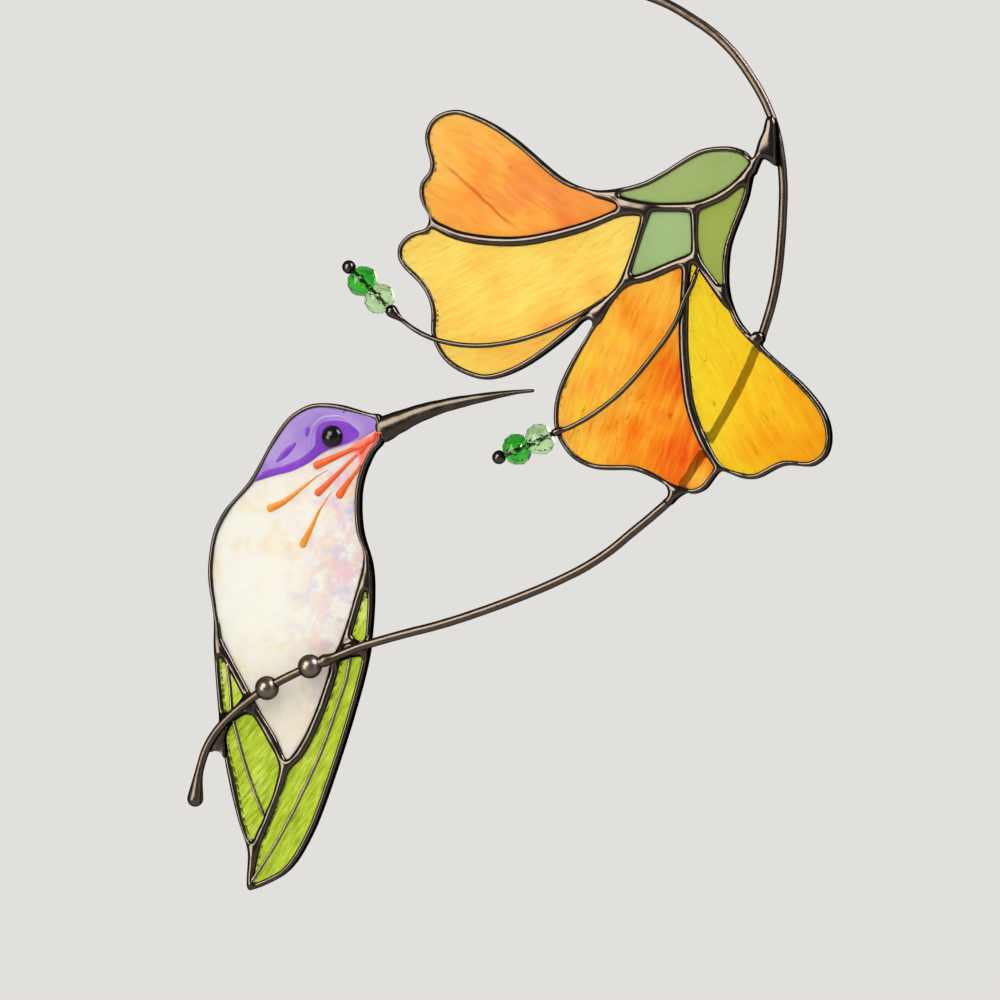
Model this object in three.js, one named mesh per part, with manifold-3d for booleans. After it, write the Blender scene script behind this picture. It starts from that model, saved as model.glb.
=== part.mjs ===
// A stained glass suncatcher: a hummingbird perched on a twig of wire, beside a trumpet flower.
//
// The glass panes are wrapped in foil and joined by beads of solder, so each panel is one solder frame with a
// pocket for every pane. The twig is a bent wire: it runs behind the flower and in front of the bird, and
// both panels are soldered to it. Units are millimetres, X runs right, Y away from the viewer and Z up.
//
// Everything is drawn in the plane of the panels as [x, z], or [x, z, y] where a wire leaves that plane. The
// drawing is moved at the end, so that the origin is where the hook bears inside the hanging ring.
import * as THREE from 'three';
import { mergeVertices } from 'three/addons/utils/BufferGeometryUtils.js';
import Module from 'manifold-3d';

const wasm = await Module();
wasm.setup();

// Driving dimensions.
const GLASS = 3.0; // thickness of the panes
const FRAME = 4.8; // thickness of a solder bead, front to back
const RIM = 1.3; // width of the bead round a panel's outer edge
const SEAM = 1.25; // half the width of a bead between two panes
const LIP = 0.5; // how far the solder laps over a pane
const GAP = 0.3; // clearance between pieces that touch
const CHAMFER = { across: 0.5, deep: 0.5 }; // slope on each side of a bead
const OFFSET = 4.0; // each panel's middle, in front of or behind the twig
const TWIG = 1.12; // radius of the twig wire
const STALK = 0.62; // radius of the stamen wires
const VEIN = 0.5; // radius of the feather wires
const FOOT = { radius: 3.05, forward: -1.1 }; // beads that the bird grips the twig with
const RING = { bore: 3.5, wire: 0.8, foot: [2.6, 2.3, 2.0] }; // hanging ring, and its foot of solder
const RONDELLE = { radius: 4.1, length: 6.0 }; // faceted glass beads
const EYE = { radius: 2.8, height: 2.3 };
const COLLAR = { radius: 1.65, half: 0.8 }; // swelling on the twig beside the right foot
const TWIG_END = { top: 1.8, bottom: 2.1 }; // radii of the balls at the twig's ends
const BALL = 1.75; // radius of the ball at a stamen's tip
const ROUNDING = 0.35; // radius of a pane's corners
const SAG = 0.22; // how far a chord may stray from its curve
const STEP = 0.5; // spacing of the points that curves are first drawn with

const FLOWER_Y = -OFFSET;
const BIRD_Y = OFFSET;
const STALK_Y = FLOWER_Y - FRAME / 2 - 0.4;
const VEIN_Y = BIRD_Y - GLASS / 2 - GAP - VEIN;

// The drawing.

const FLOWER_RIM = [
  [-16.9, 70.2], [-18.3, 73.0], [-19.4, 76.2], [-18.9, 79.6], [-16.9, 82.2], [-16.6, 84.2], [-17.6, 87.9],
  [-17.9, 91.4], [-16.4, 94.7], [-13.8, 96.6], [-9.4, 97.3], [-4.2, 95.6], [1.4, 92.6], [6.6, 88.8],
  [11.7, 84.4], [16.8, 80.2], [21.9, 77.6], [27.0, 76.5], [31.3, 76.9], [37.1, 78.1], [42.2, 80.4],
  [47.2, 83.4], [52.2, 85.9], [57.2, 86.7], [61.7, 86.1], [64.7, 84.4], [65.9, 82.4], [65.2, 78.2],
  [63.9, 73.4], [62.0, 68.5], [60.1, 63.6], [59.2, 58.8], [59.1, 54.9], [59.6, 49.9], [61.9, 44.0],
  [66.1, 39.1], [70.1, 35.5], [75.4, 30.6], [80.7, 25.1], [84.0, 19.5], [84.7, 14.2], [83.4, 10.5],
  [80.0, 8.2], [76.4, 8.1], [73.1, 8.3], [69.7, 6.8], [66.2, 5.2], [63.2, 5.2], [59.7, 6.5], [57.2, 7.0],
  [55.5, 5.1], [53.7, 2.9], [50.7, 1.5], [47.2, 2.0], [43.8, 3.3], [39.7, 5.7], [35.4, 7.2], [29.6, 7.3],
  [24.7, 7.9], [20.1, 10.3], [17.2, 13.7], [15.6, 17.3], [15.2, 21.1], [16.1, 26.7], [18.8, 32.9],
  [21.7, 37.6], [24.1, 41.6], [25.1, 43.7], [24.2, 44.6], [22.9, 44.5], [21.4, 43.0], [17.1, 39.5],
  [11.9, 35.7], [6.7, 32.6], [1.9, 30.7], [-2.9, 30.0], [-8.2, 31.6], [-12.4, 34.3], [-15.0, 37.9],
  [-16.3, 41.5], [-16.2, 46.0], [-17.2, 50.5], [-19.6, 54.2], [-22.6, 57.0], [-24.9, 60.3], [-24.9, 63.3],
  [-23.2, 65.7], [-20.3, 67.3], [-18.0, 67.8],
];

const FLOWER_SEAMS = {
  upper_to_left: [
    [-16.5, 69.4], [-12.3, 67.1], [-7.7, 65.5], [1.6, 64.3], [9.3, 64.5], [17.0, 66.1], [24.6, 68.0],
    [29.4, 69.9], [32.7, 71.2],
  ],
  left_shoulder: [[32.7, 71.1], [35.8, 71.3], [38.5, 70.7]],
  calyx_root: [[26.1, 75.9], [28.7, 75.2], [31.2, 74.1], [32.7, 73.7]],
  upper_tip: [[32.7, 73.7], [32.7, 71.2]],
  calyx_neck: [[32.7, 73.7], [34.8, 73.1], [38.5, 72.2]],
  calyx_middle_top: [[38.5, 72.2], [44.3, 71.9], [49.9, 71.9]],
  calyx_right_top: [
    [49.9, 71.9], [53.4, 72.6], [56.9, 74.1], [60.1, 76.0], [62.6, 78.2], [64.0, 79.8], [65.3, 81.3],
  ],
  left_end: [[38.8, 71.6], [38.2, 68.4], [36.5, 64.0], [35.0, 59.8], [33.9, 56.4], [33.0, 53.7]],
  calyx_middle_end: [[50.9, 71.6], [50.9, 67.4], [51.1, 63.8], [51.2, 61.3], [51.0, 59.4]],
  right_top: [[51.6, 58.9], [54.0, 55.5], [55.6, 53.0], [57.1, 50.8], [59.2, 48.2]],
  lower_top: [
    [33.2, 53.5], [35.8, 54.2], [38.5, 54.9], [41.3, 55.9], [43.8, 57.0], [46.6, 58.2], [49.4, 59.4],
  ],
  right_tip: [[49.1, 59.2], [51.6, 58.9]],
  throat: [[33.2, 53.5], [31.5, 51.5], [28.8, 48.8]],
  notch_left: [[28.8, 48.8], [25.9, 47.0], [24.1, 45.7]],
  notch_right: [[28.8, 48.8], [27.9, 47.0], [26.5, 44.8]],
  lower_to_right: [
    [49.1, 58.9], [48.7, 55.2], [48.4, 47.9], [48.1, 40.5], [48.6, 32.4], [49.5, 24.5], [50.9, 19.6],
    [52.9, 14.7], [54.7, 11.6], [56.6, 8.8],
  ],
};

// The edges round each pane in order. A pane with no rim is closed in by seams on every side.
const FLOWER_PANES = {
  petal_upper: ['rim', 'calyx_root', 'upper_tip', 'upper_to_left'],
  petal_left: ['rim', 'upper_to_left', 'left_shoulder', 'left_end', 'throat', 'notch_left'],
  petal_lower: ['rim', 'notch_right', 'throat', 'lower_top', 'lower_to_right'],
  petal_right: ['rim', 'right_top', 'right_tip', 'lower_to_right'],
  calyx_top: ['rim', 'calyx_right_top', 'calyx_middle_top', 'calyx_neck', 'calyx_root'],
  calyx_middle: ['calyx_middle_top', 'calyx_middle_end', 'lower_top', 'left_end'],
  calyx_right: ['rim', 'calyx_right_top', 'calyx_middle_end', 'right_top'],
};

const BIRD_RIM = [
  [-32.5, 21.5], [-34.7, 21.9], [-39.9, 23.5], [-45.2, 24.5], [-50.0, 24.4], [-53.2, 23.2], [-56.5, 20.9],
  [-58.9, 17.9], [-62.3, 12.9], [-66.0, 6.2], [-68.3, 3.2], [-73.0, -1.8], [-76.3, -7.7], [-77.7, -14.3],
  [-77.9, -20.4], [-76.9, -26.6], [-76.4, -31.2], [-76.5, -35.8], [-76.1, -41.6], [-75.4, -48.5],
  [-74.8, -54.9], [-74.2, -60.8], [-73.8, -64.6], [-72.6, -68.9], [-71.2, -75.0], [-69.9, -81.6],
  [-68.5, -86.0], [-67.3, -89.2], [-67.3, -92.3], [-67.5, -96.4], [-67.4, -98.9], [-66.8, -99.5],
  [-64.7, -98.8], [-61.3, -97.2], [-58.2, -95.6], [-55.5, -93.1], [-53.2, -89.8], [-50.5, -85.0],
  [-48.3, -80.1], [-45.9, -73.5], [-43.7, -66.6], [-41.5, -60.3], [-39.7, -55.4], [-38.3, -49.6],
  [-36.8, -44.6], [-35.5, -40.0], [-34.8, -34.6], [-34.5, -29.3], [-34.1, -24.5], [-34.4, -20.2],
  [-34.8, -14.9], [-36.0, -11.6], [-37.1, -7.3], [-37.5, -2.5], [-37.4, 1.4], [-36.8, 5.1], [-35.1, 9.7],
  [-33.2, 12.9], [-31.7, 14.4],
];

const BIRD_SEAMS = {
  left_wing_top: [
    [-75.9, -31.9], [-75.2, -35.7], [-73.5, -39.0], [-71.3, -42.8], [-69.4, -46.4], [-66.9, -50.5],
  ],
  left_wing_elbow: [[-66.9, -50.5], [-65.7, -52.7]],
  left_wing_side: [
    [-65.7, -52.7], [-64.4, -55.2], [-62.8, -57.8], [-60.7, -61.0], [-59.4, -63.8], [-58.3, -66.3],
    [-57.3, -68.4],
  ],
  tail: [
    [-57.3, -68.4], [-59.0, -73.0], [-61.1, -77.6], [-62.8, -81.9], [-64.5, -86.6], [-65.4, -89.6],
    [-66.2, -93.7], [-66.9, -98.3],
  ],
  right_wing_top: [[-35.5, -15.2], [-36.8, -20.2], [-37.8, -25.3], [-39.4, -30.4], [-40.7, -34.2]],
  right_wing_elbow: [[-40.7, -34.2], [-42.1, -38.0], [-43.8, -41.2]],
  right_wing_side: [
    [-43.8, -41.8], [-45.0, -45.6], [-46.9, -50.7], [-48.8, -55.8], [-51.3, -60.9], [-54.1, -65.3],
    [-57.3, -68.4],
  ],
  left_perch_upper: [[-66.9, -50.5], [-69.6, -53.3], [-72.3, -55.5], [-74.7, -58.5]],
  left_perch_lower: [
    [-64.8, -54.0], [-67.2, -53.4], [-69.9, -54.3], [-72.0, -56.1], [-73.8, -58.9], [-74.2, -62.5],
  ],
  right_perch_upper: [[-41.1, -33.7], [-38.9, -36.5], [-34.7, -36.9]],
  right_perch_lower: [[-44.2, -40.5], [-40.8, -39.0], [-35.0, -38.2]],
};

const BIRD_PANES = {
  bird_body: [
    'rim', 'left_wing_top', 'left_wing_elbow', 'left_wing_side', 'right_wing_side', 'right_wing_elbow',
    'right_wing_top',
  ],
  wing_left_upper: ['rim', 'left_perch_upper', 'left_wing_top'],
  wing_left_lower: ['rim', 'tail', 'left_wing_side', 'left_perch_lower'],
  wing_right_upper: ['rim', 'right_wing_top', 'right_perch_upper'],
  wing_right_lower: ['rim', 'tail', 'right_wing_side', 'right_perch_lower'],
};

const TWIG_PATH = [
  [-10.5, 131.0], [-7.0, 128.9], [-2.8, 127.7], [3.0, 127.2], [13.0, 127.6], [23.0, 127.5], [32.1, 126.3],
  [40.6, 123.7], [49.2, 118.8], [58.0, 111.8], [66.4, 99.8], [70.0, 91.0], [71.8, 80.0], [71.8, 70.0],
  [69.9, 51.6], [65.5, 37.5], [60.1, 25.8], [53.8, 14.8], [46.8, 3.7], [43.0, -0.5], [35.9, -6.4],
  [25.7, -14.4], [15.5, -19.9],
  [5.2, -24.2], [-5.2, -28.0], [-15.6, -31.3], [-26.1, -34.0], [-37.6, -37.4, -0.3],
  [-43.2, -39.7, -0.8], [-49.5, -42.1, -1.1], [-60.9, -47.7, -1.1], [-66.4, -51.3, -0.6], [-72.1, -55.9],
  [-75.7, -60.4], [-78.3, -65.1], [-79.7, -70.6], [-80.5, -76.2],
];
const FEET = { foot_bead_left: [-60.9, -47.7], foot_bead_right: [-49.5, -42.1] };

// Webs of solder that tie the panels to the twig.
const STUB = [
  [64.9, 82.8], [65.9, 85.3], [66.9, 87.8], [67.9, 90.0], [69.0, 93.5], [70.6, 93.5], [71.4, 84.0],
  [71.0, 81.6],
  [69.2, 82.8], [67.6, 83.4], [66.7, 81.8], [65.7, 79.6], [64.6, 79.6],
];
const EXIT = [
  [42.6, 4.6], [43.9, 3.0], [44.2, 1.8], [43.9, 0.8], [42.9, -0.2], [44.4, -1.3], [46.1, 0.2], [47.4, 1.1],
  [49.2, 1.9], [47.5, 2.8],
];
const CROOK = [
  [-72.6, -57.6], [-75.4, -60.8], [-77.4, -64.4], [-75.6, -64.0], [-74.0, -64.4], [-73.0, -65.8],
  [-72.4, -63.0], [-72.6, -60.2],
];
const WEB = { flowerY: -2.3, flowerDepth: 3.6, birdY: 1.6, birdDepth: 3.4, bevel: 0.4 };
// Drops of solder beside the twig: their middles, and the radii of the one behind the flower.
const FLOWER_TACK = [66.4, 39.6, -1.6];
const FLOWER_TACK_SIZE = [1.9, 2.4, 1.7];
const BIRD_TACKS = [[-67.0, -52.4], [-73.6, -58.6], [-39.6, -38.0], [-36.0, -37.0]];
const BIRD_TACK = { y: 1.2, radius: 1.7 };

const UPPER_STAMEN = {
  ball: [-37.4, 58.4], turn: [-25.7, 46.7], bulbRadius: 1.6,
  path: [[-22.1, 43.9], [-19.0, 41.8], [-14.1, 39.8], [-8.0, 38.6], [-2.0, 38.4], [5.0, 39.3], [12.0, 41.2],
    [18.8, 44.0], [24.0, 46.9], [28.2, 49.9]],
};
const LOWER_STAMEN = {
  ball: [1.6, 10.6], turn: [16.5, 16.9], bulbRadius: 1.0,
  path: [[19.6, 17.9], [23.4, 19.8], [27.3, 22.3], [32.8, 26.7], [37.8, 32.0], [42.5, 37.8], [46.0, 42.7],
    [47.6, 46.4], [48.6, 49.0], [50.5, 52.6], [52.1, 57.7]],
};
const VEINS = {
  vein_left_upper: [[-72.5, -42.0], [-71.9, -45.0], [-71.6, -50.0], [-71.3, -53.9]],
  vein_left_lower: [[-70.9, -55.9], [-70.1, -59.0], [-68.2, -65.6], [-65.8, -72.6], [-62.9, -79.8]],
  vein_right: [[-39.6, -39.4], [-40.8, -45.6], [-43.5, -53.2], [-46.7, -62.2], [-51.4, -72.3], [-56.6, -82.4],
    [-61.4, -90.4], [-65.9, -97.0]],
};
const BEAK = {
  rings: 10,
  path: [[-31.8, 17.7], [-27.0, 19.9], [-24.2, 21.1], [-17.5, 23.3], [-10.8, 24.8], [-4.1, 26.0], [2.6, 27.0],
    [7.8, 27.4]],
  radii: [3.5, 2.9, 2.6, 1.95, 1.55, 1.15, 0.65, 0.3],
  flatten: 0.6,
};
const EYE_AT = [-44.5, 16.1];
// Raised enamel on the throat: where each stroke starts and where its drop ends.
const STROKES = [
  { from: [-37.6, 12.4], to: [-48.8, 8.8], width: 1.0 },
  { from: [-37.4, 11.6], to: [-48.5, 1.9], width: 1.0 },
  { from: [-37.0, 8.9], to: [-42.8, 1.4], width: 1.05 },
  { from: [-46.2, 7.4], to: [-61.1, -1.9], width: 1.0 },
  { from: [-45.1, 1.5], to: [-52.4, -11.6], width: 0.9 },
];
// A stroke's outline, as shares of its width and of its length.
const STROKE_PROFILE = [[0, 0], [0.45, 0.12], [0.7, 0.55], [0.95, 0.86], [0.8, 0.97], [0, 1.0]];
const STROKE_FLATTEN = 0.6;

const HANG = { x: -2.9, z: 137.3 };

// Colours, roughness and metalness of the materials.
const finish = (color, roughness, metalness = 0) =>
  new THREE.MeshStandardMaterial({ color, roughness, metalness });
const PATINA = finish('#2b2320', 0.35, 0.9);
const COPPER_BROWN = finish('#3b2b25', 0.3, 0.9);
const SHEET = 0.15; // roughness of the sheet glass
const LIME = finish('#a8cb1a', SHEET);
const FINISHES = {
  petal_upper: finish('#f9a83c', SHEET),
  petal_left: finish('#f7da55', SHEET),
  petal_lower: finish('#f58a1f', SHEET),
  petal_right: finish('#f2cf2a', SHEET),
  calyx_top: finish('#9db46c', SHEET),
  calyx_middle: finish('#a3be86', SHEET),
  calyx_right: finish('#96a75a', SHEET),
  bird_body: finish('#fbf3e2', SHEET),
  wing_left_upper: LIME,
  wing_left_lower: LIME,
  wing_right_upper: LIME,
  wing_right_lower: LIME,
};
const DARK_BEAD = finish('#2fb52f', 0.08);
const PALE_BEAD = finish('#9ccb9c', 0.08);
const BLACK_GLASS = finish('#0c0c0e', 0.05);

// Curves and loops in the plane of the drawing.

const vector = ([x, z, y = 0], depth = 0) => new THREE.Vector3(x, y + depth, z);
const curveThrough = (points, closed = false, depth = 0) =>
  new THREE.CatmullRomCurve3(points.map((p) => vector(p, depth)), closed, 'centripetal');

// Points about STEP apart along a curve.
function trace(curve) {
  curve.arcLengthDivisions = 1000;
  return curve.getSpacedPoints(Math.max(2, Math.ceil(curve.getLength() / STEP))).map((p) => [p.x, p.z]);
}

const distance = ([ax, az], [bx, bz]) => Math.hypot(ax - bx, az - bz);

function distanceToSegment([px, pz], [ax, az], [bx, bz]) {
  const [dx, dz] = [bx - ax, bz - az];
  const t = Math.min(1, Math.max(0, ((px - ax) * dx + (pz - az) * dz) / (dx * dx + dz * dz || 1)));
  return Math.hypot(px - ax - t * dx, pz - az - t * dz);
}

function distanceToLine(p, line) {
  let least = Infinity;
  for (let i = 1; i < line.length; i += 1) {
    least = Math.min(least, distanceToSegment(p, line[i - 1], line[i]));
  }
  return least;
}

function area(loop) {
  const next = (i) => loop[(i + 1) % loop.length];
  return loop.reduce((sum, [x, z], i) => sum + x * next(i)[1] - z * next(i)[0], 0) / 2;
}

// The fewest points of a line that keep it within SAG.
function thinned(line) {
  let [far, at] = [0, 0];
  line.forEach((p, i) => {
    const d = distanceToSegment(p, line[0], line[line.length - 1]);
    if (d > far) [far, at] = [d, i];
  });
  if (far < SAG) return [line[0], line[line.length - 1]];
  return [...thinned(line.slice(0, at + 1)), ...thinned(line.slice(at)).slice(1)];
}

function thinnedLoop(loop) {
  const half = Math.floor(loop.length / 2);
  return [...thinned(loop.slice(0, half + 1)), ...thinned([...loop.slice(half), loop[0]]).slice(1, -1)];
}

// Seams turned and put in order, so that each starts where the one before it ends.
function chain(seams) {
  const last = (line) => line[line.length - 1];
  const gap = (p, line) => Math.min(distance(p, line[0]), distance(p, last(line)));
  const out = [];
  seams.forEach((line, i) => {
    const forward = i === 0 ? gap(last(line), seams[1]) <= gap(line[0], seams[1])
      : distance(last(out[i - 1]), line[0]) <= distance(last(out[i - 1]), last(line));
    out.push(forward ? line : [...line].reverse());
  });
  return out;
}

// The shorter way round a closed loop, from the point nearest `from` to the point nearest `to`.
function partOf(loop, from, to) {
  const nearest = (p) =>
    loop.reduce((best, q, i) => (distance(p, q) < distance(p, loop[best]) ? i : best), 0);
  const [a, b, n] = [nearest(from), nearest(to), loop.length];
  const ahead = (b - a + n) % n;
  const step = ahead <= n / 2 ? 1 : n - 1;
  const count = step === 1 ? ahead : n - ahead;
  return Array.from({ length: count + 1 }, (_, i) => loop[(a + i * step) % n]);
}

// The loop that keeps each edge's inset, less `growth`, from that edge.
function insetLoop(edges, growth) {
  const side = Math.sign(area(edges.flatMap(({ line }) => line)));
  const clear = (p) => edges.every(({ line, inset }) => distanceToLine(p, line) > inset - growth - 0.01);
  return edges.flatMap(({ line, inset }) =>
    line.map(([x, z], i) => {
      const [a, b] = [line[Math.max(0, i - 1)], line[Math.min(line.length - 1, i + 1)]];
      const reach = ((inset - growth) * side) / distance(a, b);
      return [x - (b[1] - a[1]) * reach, z + (b[0] - a[0]) * reach];
    }).filter(clear));
}

// A loop grown by `radius`, with an arc round each outward corner.
function grownLoop(loop, radius) {
  const side = Math.sign(area(loop));
  const closed = [...loop, loop[0]];
  const heading = loop.map((p, i) => Math.atan2(closed[i + 1][1] - p[1], closed[i + 1][0] - p[0]));
  return loop.flatMap(([x, z], i) => {
    const from = heading[(i + loop.length - 1) % loop.length];
    const turn = THREE.MathUtils.euclideanModulo(heading[i] - from + Math.PI, 2 * Math.PI) - Math.PI;
    const count = Math.max(1, Math.ceil((turn * side) / 0.8));
    return Array.from({ length: count }, (_, k) => from + (turn * (k + 0.5)) / count - (side * Math.PI) / 2)
      .map((angle) => [x + radius * Math.cos(angle), z + radius * Math.sin(angle)]);
  }).filter((p) => distanceToLine(p, closed) > radius - 0.02);
}

// Solids.

function solidOf(geometry) {
  geometry.deleteAttribute('normal');
  geometry.deleteAttribute('uv');
  const merged = mergeVertices(geometry, 1e-4);
  return new wasm.Manifold(new wasm.Mesh({
    numProp: 3,
    vertProperties: new Float32Array(merged.attributes.position.array),
    triVerts: new Uint32Array(merged.index.array),
  }));
}

function meshOf(name, solid, material) {
  const { numProp, vertProperties, triVerts } = solid.getMesh();
  const geometry = new THREE.BufferGeometry();
  geometry.setAttribute('position', new THREE.BufferAttribute(vertProperties, numProp));
  geometry.setIndex(new THREE.BufferAttribute(triVerts, 1));
  geometry.computeVertexNormals();
  const mesh = new THREE.Mesh(geometry, material);
  mesh.name = name;
  return mesh;
}

// A loop given thickness about the plane y. A chamfer narrows both faces, and a negative one widens them.
function slab(loop, thickness, y, across = 0, deep = 0) {
  const depth = thickness - 2 * deep;
  const shape = new THREE.Shape(loop.map(([x, z]) => new THREE.Vector2(x, z)));
  const bevel = { bevelThickness: deep, bevelSize: across, bevelOffset: -across, bevelSegments: 1 };
  const geometry = new THREE.ExtrudeGeometry(shape, { depth, bevelEnabled: deep > 0, ...bevel });
  geometry.translate(0, 0, -depth / 2);
  geometry.rotateX(Math.PI / 2);
  geometry.translate(0, y, 0);
  return solidOf(geometry);
}

// A rod drawn along a curve. Each ring says how far along in millimetres it is, and its radius.
function drawn(curve, rings, sides, flatten = 1) {
  const last = rings.length - 1;
  const length = curve.getLength();
  const frames = rings.map(({ at, radius }) => {
    const t = THREE.MathUtils.clamp(at / length, 0, 1);
    const along = curve.getTangentAt(t);
    const middle = curve.getPointAt(t).addScaledVector(along, at - t * length);
    const side = new THREE.Vector3().crossVectors(along, new THREE.Vector3(0, 1, 0)).normalize();
    const depth = side.clone().cross(along).multiplyScalar(radius * flatten);
    return { middle, side: side.multiplyScalar(radius), depth };
  });
  const geometry = new THREE.CylinderGeometry(1, 1, 1, sides, last);
  const position = geometry.attributes.position;
  for (let i = 0; i < position.count; i += 1) {
    const { middle, side, depth } = frames[Math.round((position.getY(i) + 0.5) * last)];
    const p = middle.clone().addScaledVector(side, position.getX(i)).addScaledVector(depth, position.getZ(i));
    position.setXYZ(i, p.x, p.y, p.z);
  }
  return solidOf(geometry);
}

// The rings of a plain rod with round ends.
function plainRings(length, radius, step) {
  const capRing = (angle) => ({ at: -radius * Math.cos(angle), radius: radius * Math.sin(angle) });
  const cap = [0.5, 1.05].map(capRing);
  const farCap = cap.map((ring) => ({ at: length - ring.at, radius: ring.radius })).reverse();
  const count = Math.ceil(length / step);
  const middle = Array.from({ length: count + 1 }, (_, i) => ({ at: (length * i) / count, radius }));
  return [...cap, ...middle, ...farCap];
}

// Rings with a swelling worked in: `profile` lists distances from its middle, with radii.
function swell(rings, middle, profile) {
  const from = middle + profile[0][0] - 0.3;
  const to = middle + profile[profile.length - 1][0] + 0.3;
  const kept = rings.filter(({ at }) => at < from || at > to);
  return [...kept, ...profile.map(([h, radius]) => ({ at: middle + h, radius }))].sort((p, q) => p.at - q.at);
}

// The profile of a ball that a rod of radius `neck` runs into.
function ballProfile(radius, neck) {
  const first = 0.35;
  const last = Math.PI - Math.asin(neck / radius);
  return Array.from({ length: 7 }, (_, i) => first + ((last - first) * i) / 6)
    .map((angle) => [-radius * Math.cos(angle), radius * Math.sin(angle)]);
}

const backwards = (profile) => profile.map(([h, radius]) => [-h, radius]).reverse();

// A ball of solder, stretched to [x, y, z] radii.
function blob([x, z, y = 0], [rx, ry, rz], detail = 8) {
  const geometry = new THREE.SphereGeometry(1, detail, Math.ceil(detail * 0.75));
  geometry.rotateX(Math.PI / 2);
  geometry.scale(rx, ry, rz);
  geometry.translate(x, y, z);
  return solidOf(geometry);
}

// A turned shape whose axis runs along `direction` from `at`.
function turned(profile, segments, at, direction, flatten = 1) {
  const geometry = new THREE.LatheGeometry(profile.map(([r, h]) => new THREE.Vector2(r, h)), segments);
  geometry.scale(1, 1, flatten);
  const across = new THREE.Vector3().crossVectors(direction, new THREE.Vector3(0, 1, 0)).normalize();
  const depth = new THREE.Vector3().crossVectors(across, direction);
  geometry.applyMatrix4(new THREE.Matrix4().makeBasis(across, direction, depth));
  geometry.translate(at.x, at.y, at.z);
  return solidOf(geometry);
}

const eachOf = (named, make) =>
  Object.fromEntries(Object.entries(named).map(([name, value]) => [name, make(value)]));

// Pieces.

class Panel {
  constructor(rim, seams, panes, y) {
    this.y = y;
    this.outline = trace(curveThrough(rim, true)).slice(1);
    this.seams = eachOf(seams, (points) => trace(curveThrough(points)));
    this.panes = eachOf(panes, (names) => this.edgesOf(names));
  }

  edgesOf(names) {
    const seams = chain(names.filter((name) => name !== 'rim').map((name) => this.seams[name]));
    const edges = seams.map((line) => ({ line, inset: SEAM }));
    if (!names.includes('rim')) return edges;
    const last = seams[seams.length - 1];
    return [...edges, { line: partOf(this.outline, last[last.length - 1], seams[0][0]), inset: RIM }];
  }

  // A pane's edge, `reach` beyond the line where its beads of solder end. Corners are rounded off.
  loopOf(name, reach) {
    return grownLoop(thinnedLoop(insetLoop(this.panes[name], -ROUNDING)), ROUNDING + reach);
  }

  pane(name) {
    return slab(this.loopOf(name, LIP), GLASS, this.y);
  }

  // The solder: a slab of the whole outline, opened over each pane and pocketed for the glass.
  frame(webs) {
    const { across, deep } = CHAMFER;
    let solid = slab(thinnedLoop(this.outline), FRAME, this.y, across, deep);
    for (const web of webs) solid = solid.add(web);
    for (const name of Object.keys(this.panes)) {
      solid = solid.subtract(slab(this.loopOf(name, 0), 2 * FRAME, this.y));
      solid = solid.subtract(slab(this.loopOf(name, LIP + GAP), GLASS + 2 * GAP, this.y));
    }
    return solid;
  }
}

const TWIG_CURVE = curveThrough(TWIG_PATH);
TWIG_CURVE.arcLengthDivisions = 2000;
const TWIG_LENGTH = TWIG_CURVE.getLength();
const twigRings = (radius) => plainRings(TWIG_LENGTH, radius, 7);

// Where along the twig a foot is, from 0 to 1 in the curve's own measure. The feet are points of its path.
const footAt = ([x, z]) => TWIG_PATH.findIndex((p) => p[0] === x && p[1] === z) / (TWIG_PATH.length - 1);

function twig() {
  const divisions = TWIG_CURVE.arcLengthDivisions;
  const foot = TWIG_CURVE.getLengths(divisions)[Math.round(footAt(FEET.foot_bead_right) * divisions)];
  const { radius, half } = COLLAR;
  const shoulder = THREE.MathUtils.lerp(TWIG, radius, 0.7);
  const collar = [[-half, TWIG], [-half / 2, shoulder], [0, radius], [half / 2, shoulder], [half, TWIG]];
  let rings = swell(twigRings(TWIG), foot - FOOT.radius - GAP - half, collar);
  rings = swell(rings, 0, ballProfile(TWIG_END.top, TWIG));
  rings = swell(rings, TWIG_LENGTH, backwards(ballProfile(TWIG_END.bottom, TWIG)));
  return drawn(TWIG_CURVE, rings, 8);
}

// A ball on the twig with a bore for the wire.
function footBead(at) {
  const bore = TWIG + GAP + 0.2;
  const open = Math.asin(bore / FOOT.radius);
  const profile = Array.from({ length: 7 }, (_, i) => open + ((Math.PI - 2 * open) * i) / 6)
    .map((angle) => [FOOT.radius * Math.sin(angle), -FOOT.radius * Math.cos(angle)]);
  return turned([...profile, profile[0]], 12, vector(at, FOOT.forward), TWIG_CURVE.getTangent(footAt(at)));
}

function hangingRing() {
  const torus = new THREE.TorusGeometry(RING.bore + RING.wire, RING.wire, 7, 18);
  torus.rotateX(Math.PI / 2);
  torus.translate(HANG.x, 0, HANG.z - RING.bore);
  const foot = [HANG.x, HANG.z - 2 * RING.bore - 2 * RING.wire];
  return solidOf(torus).add(blob(foot, RING.foot));
}

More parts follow.
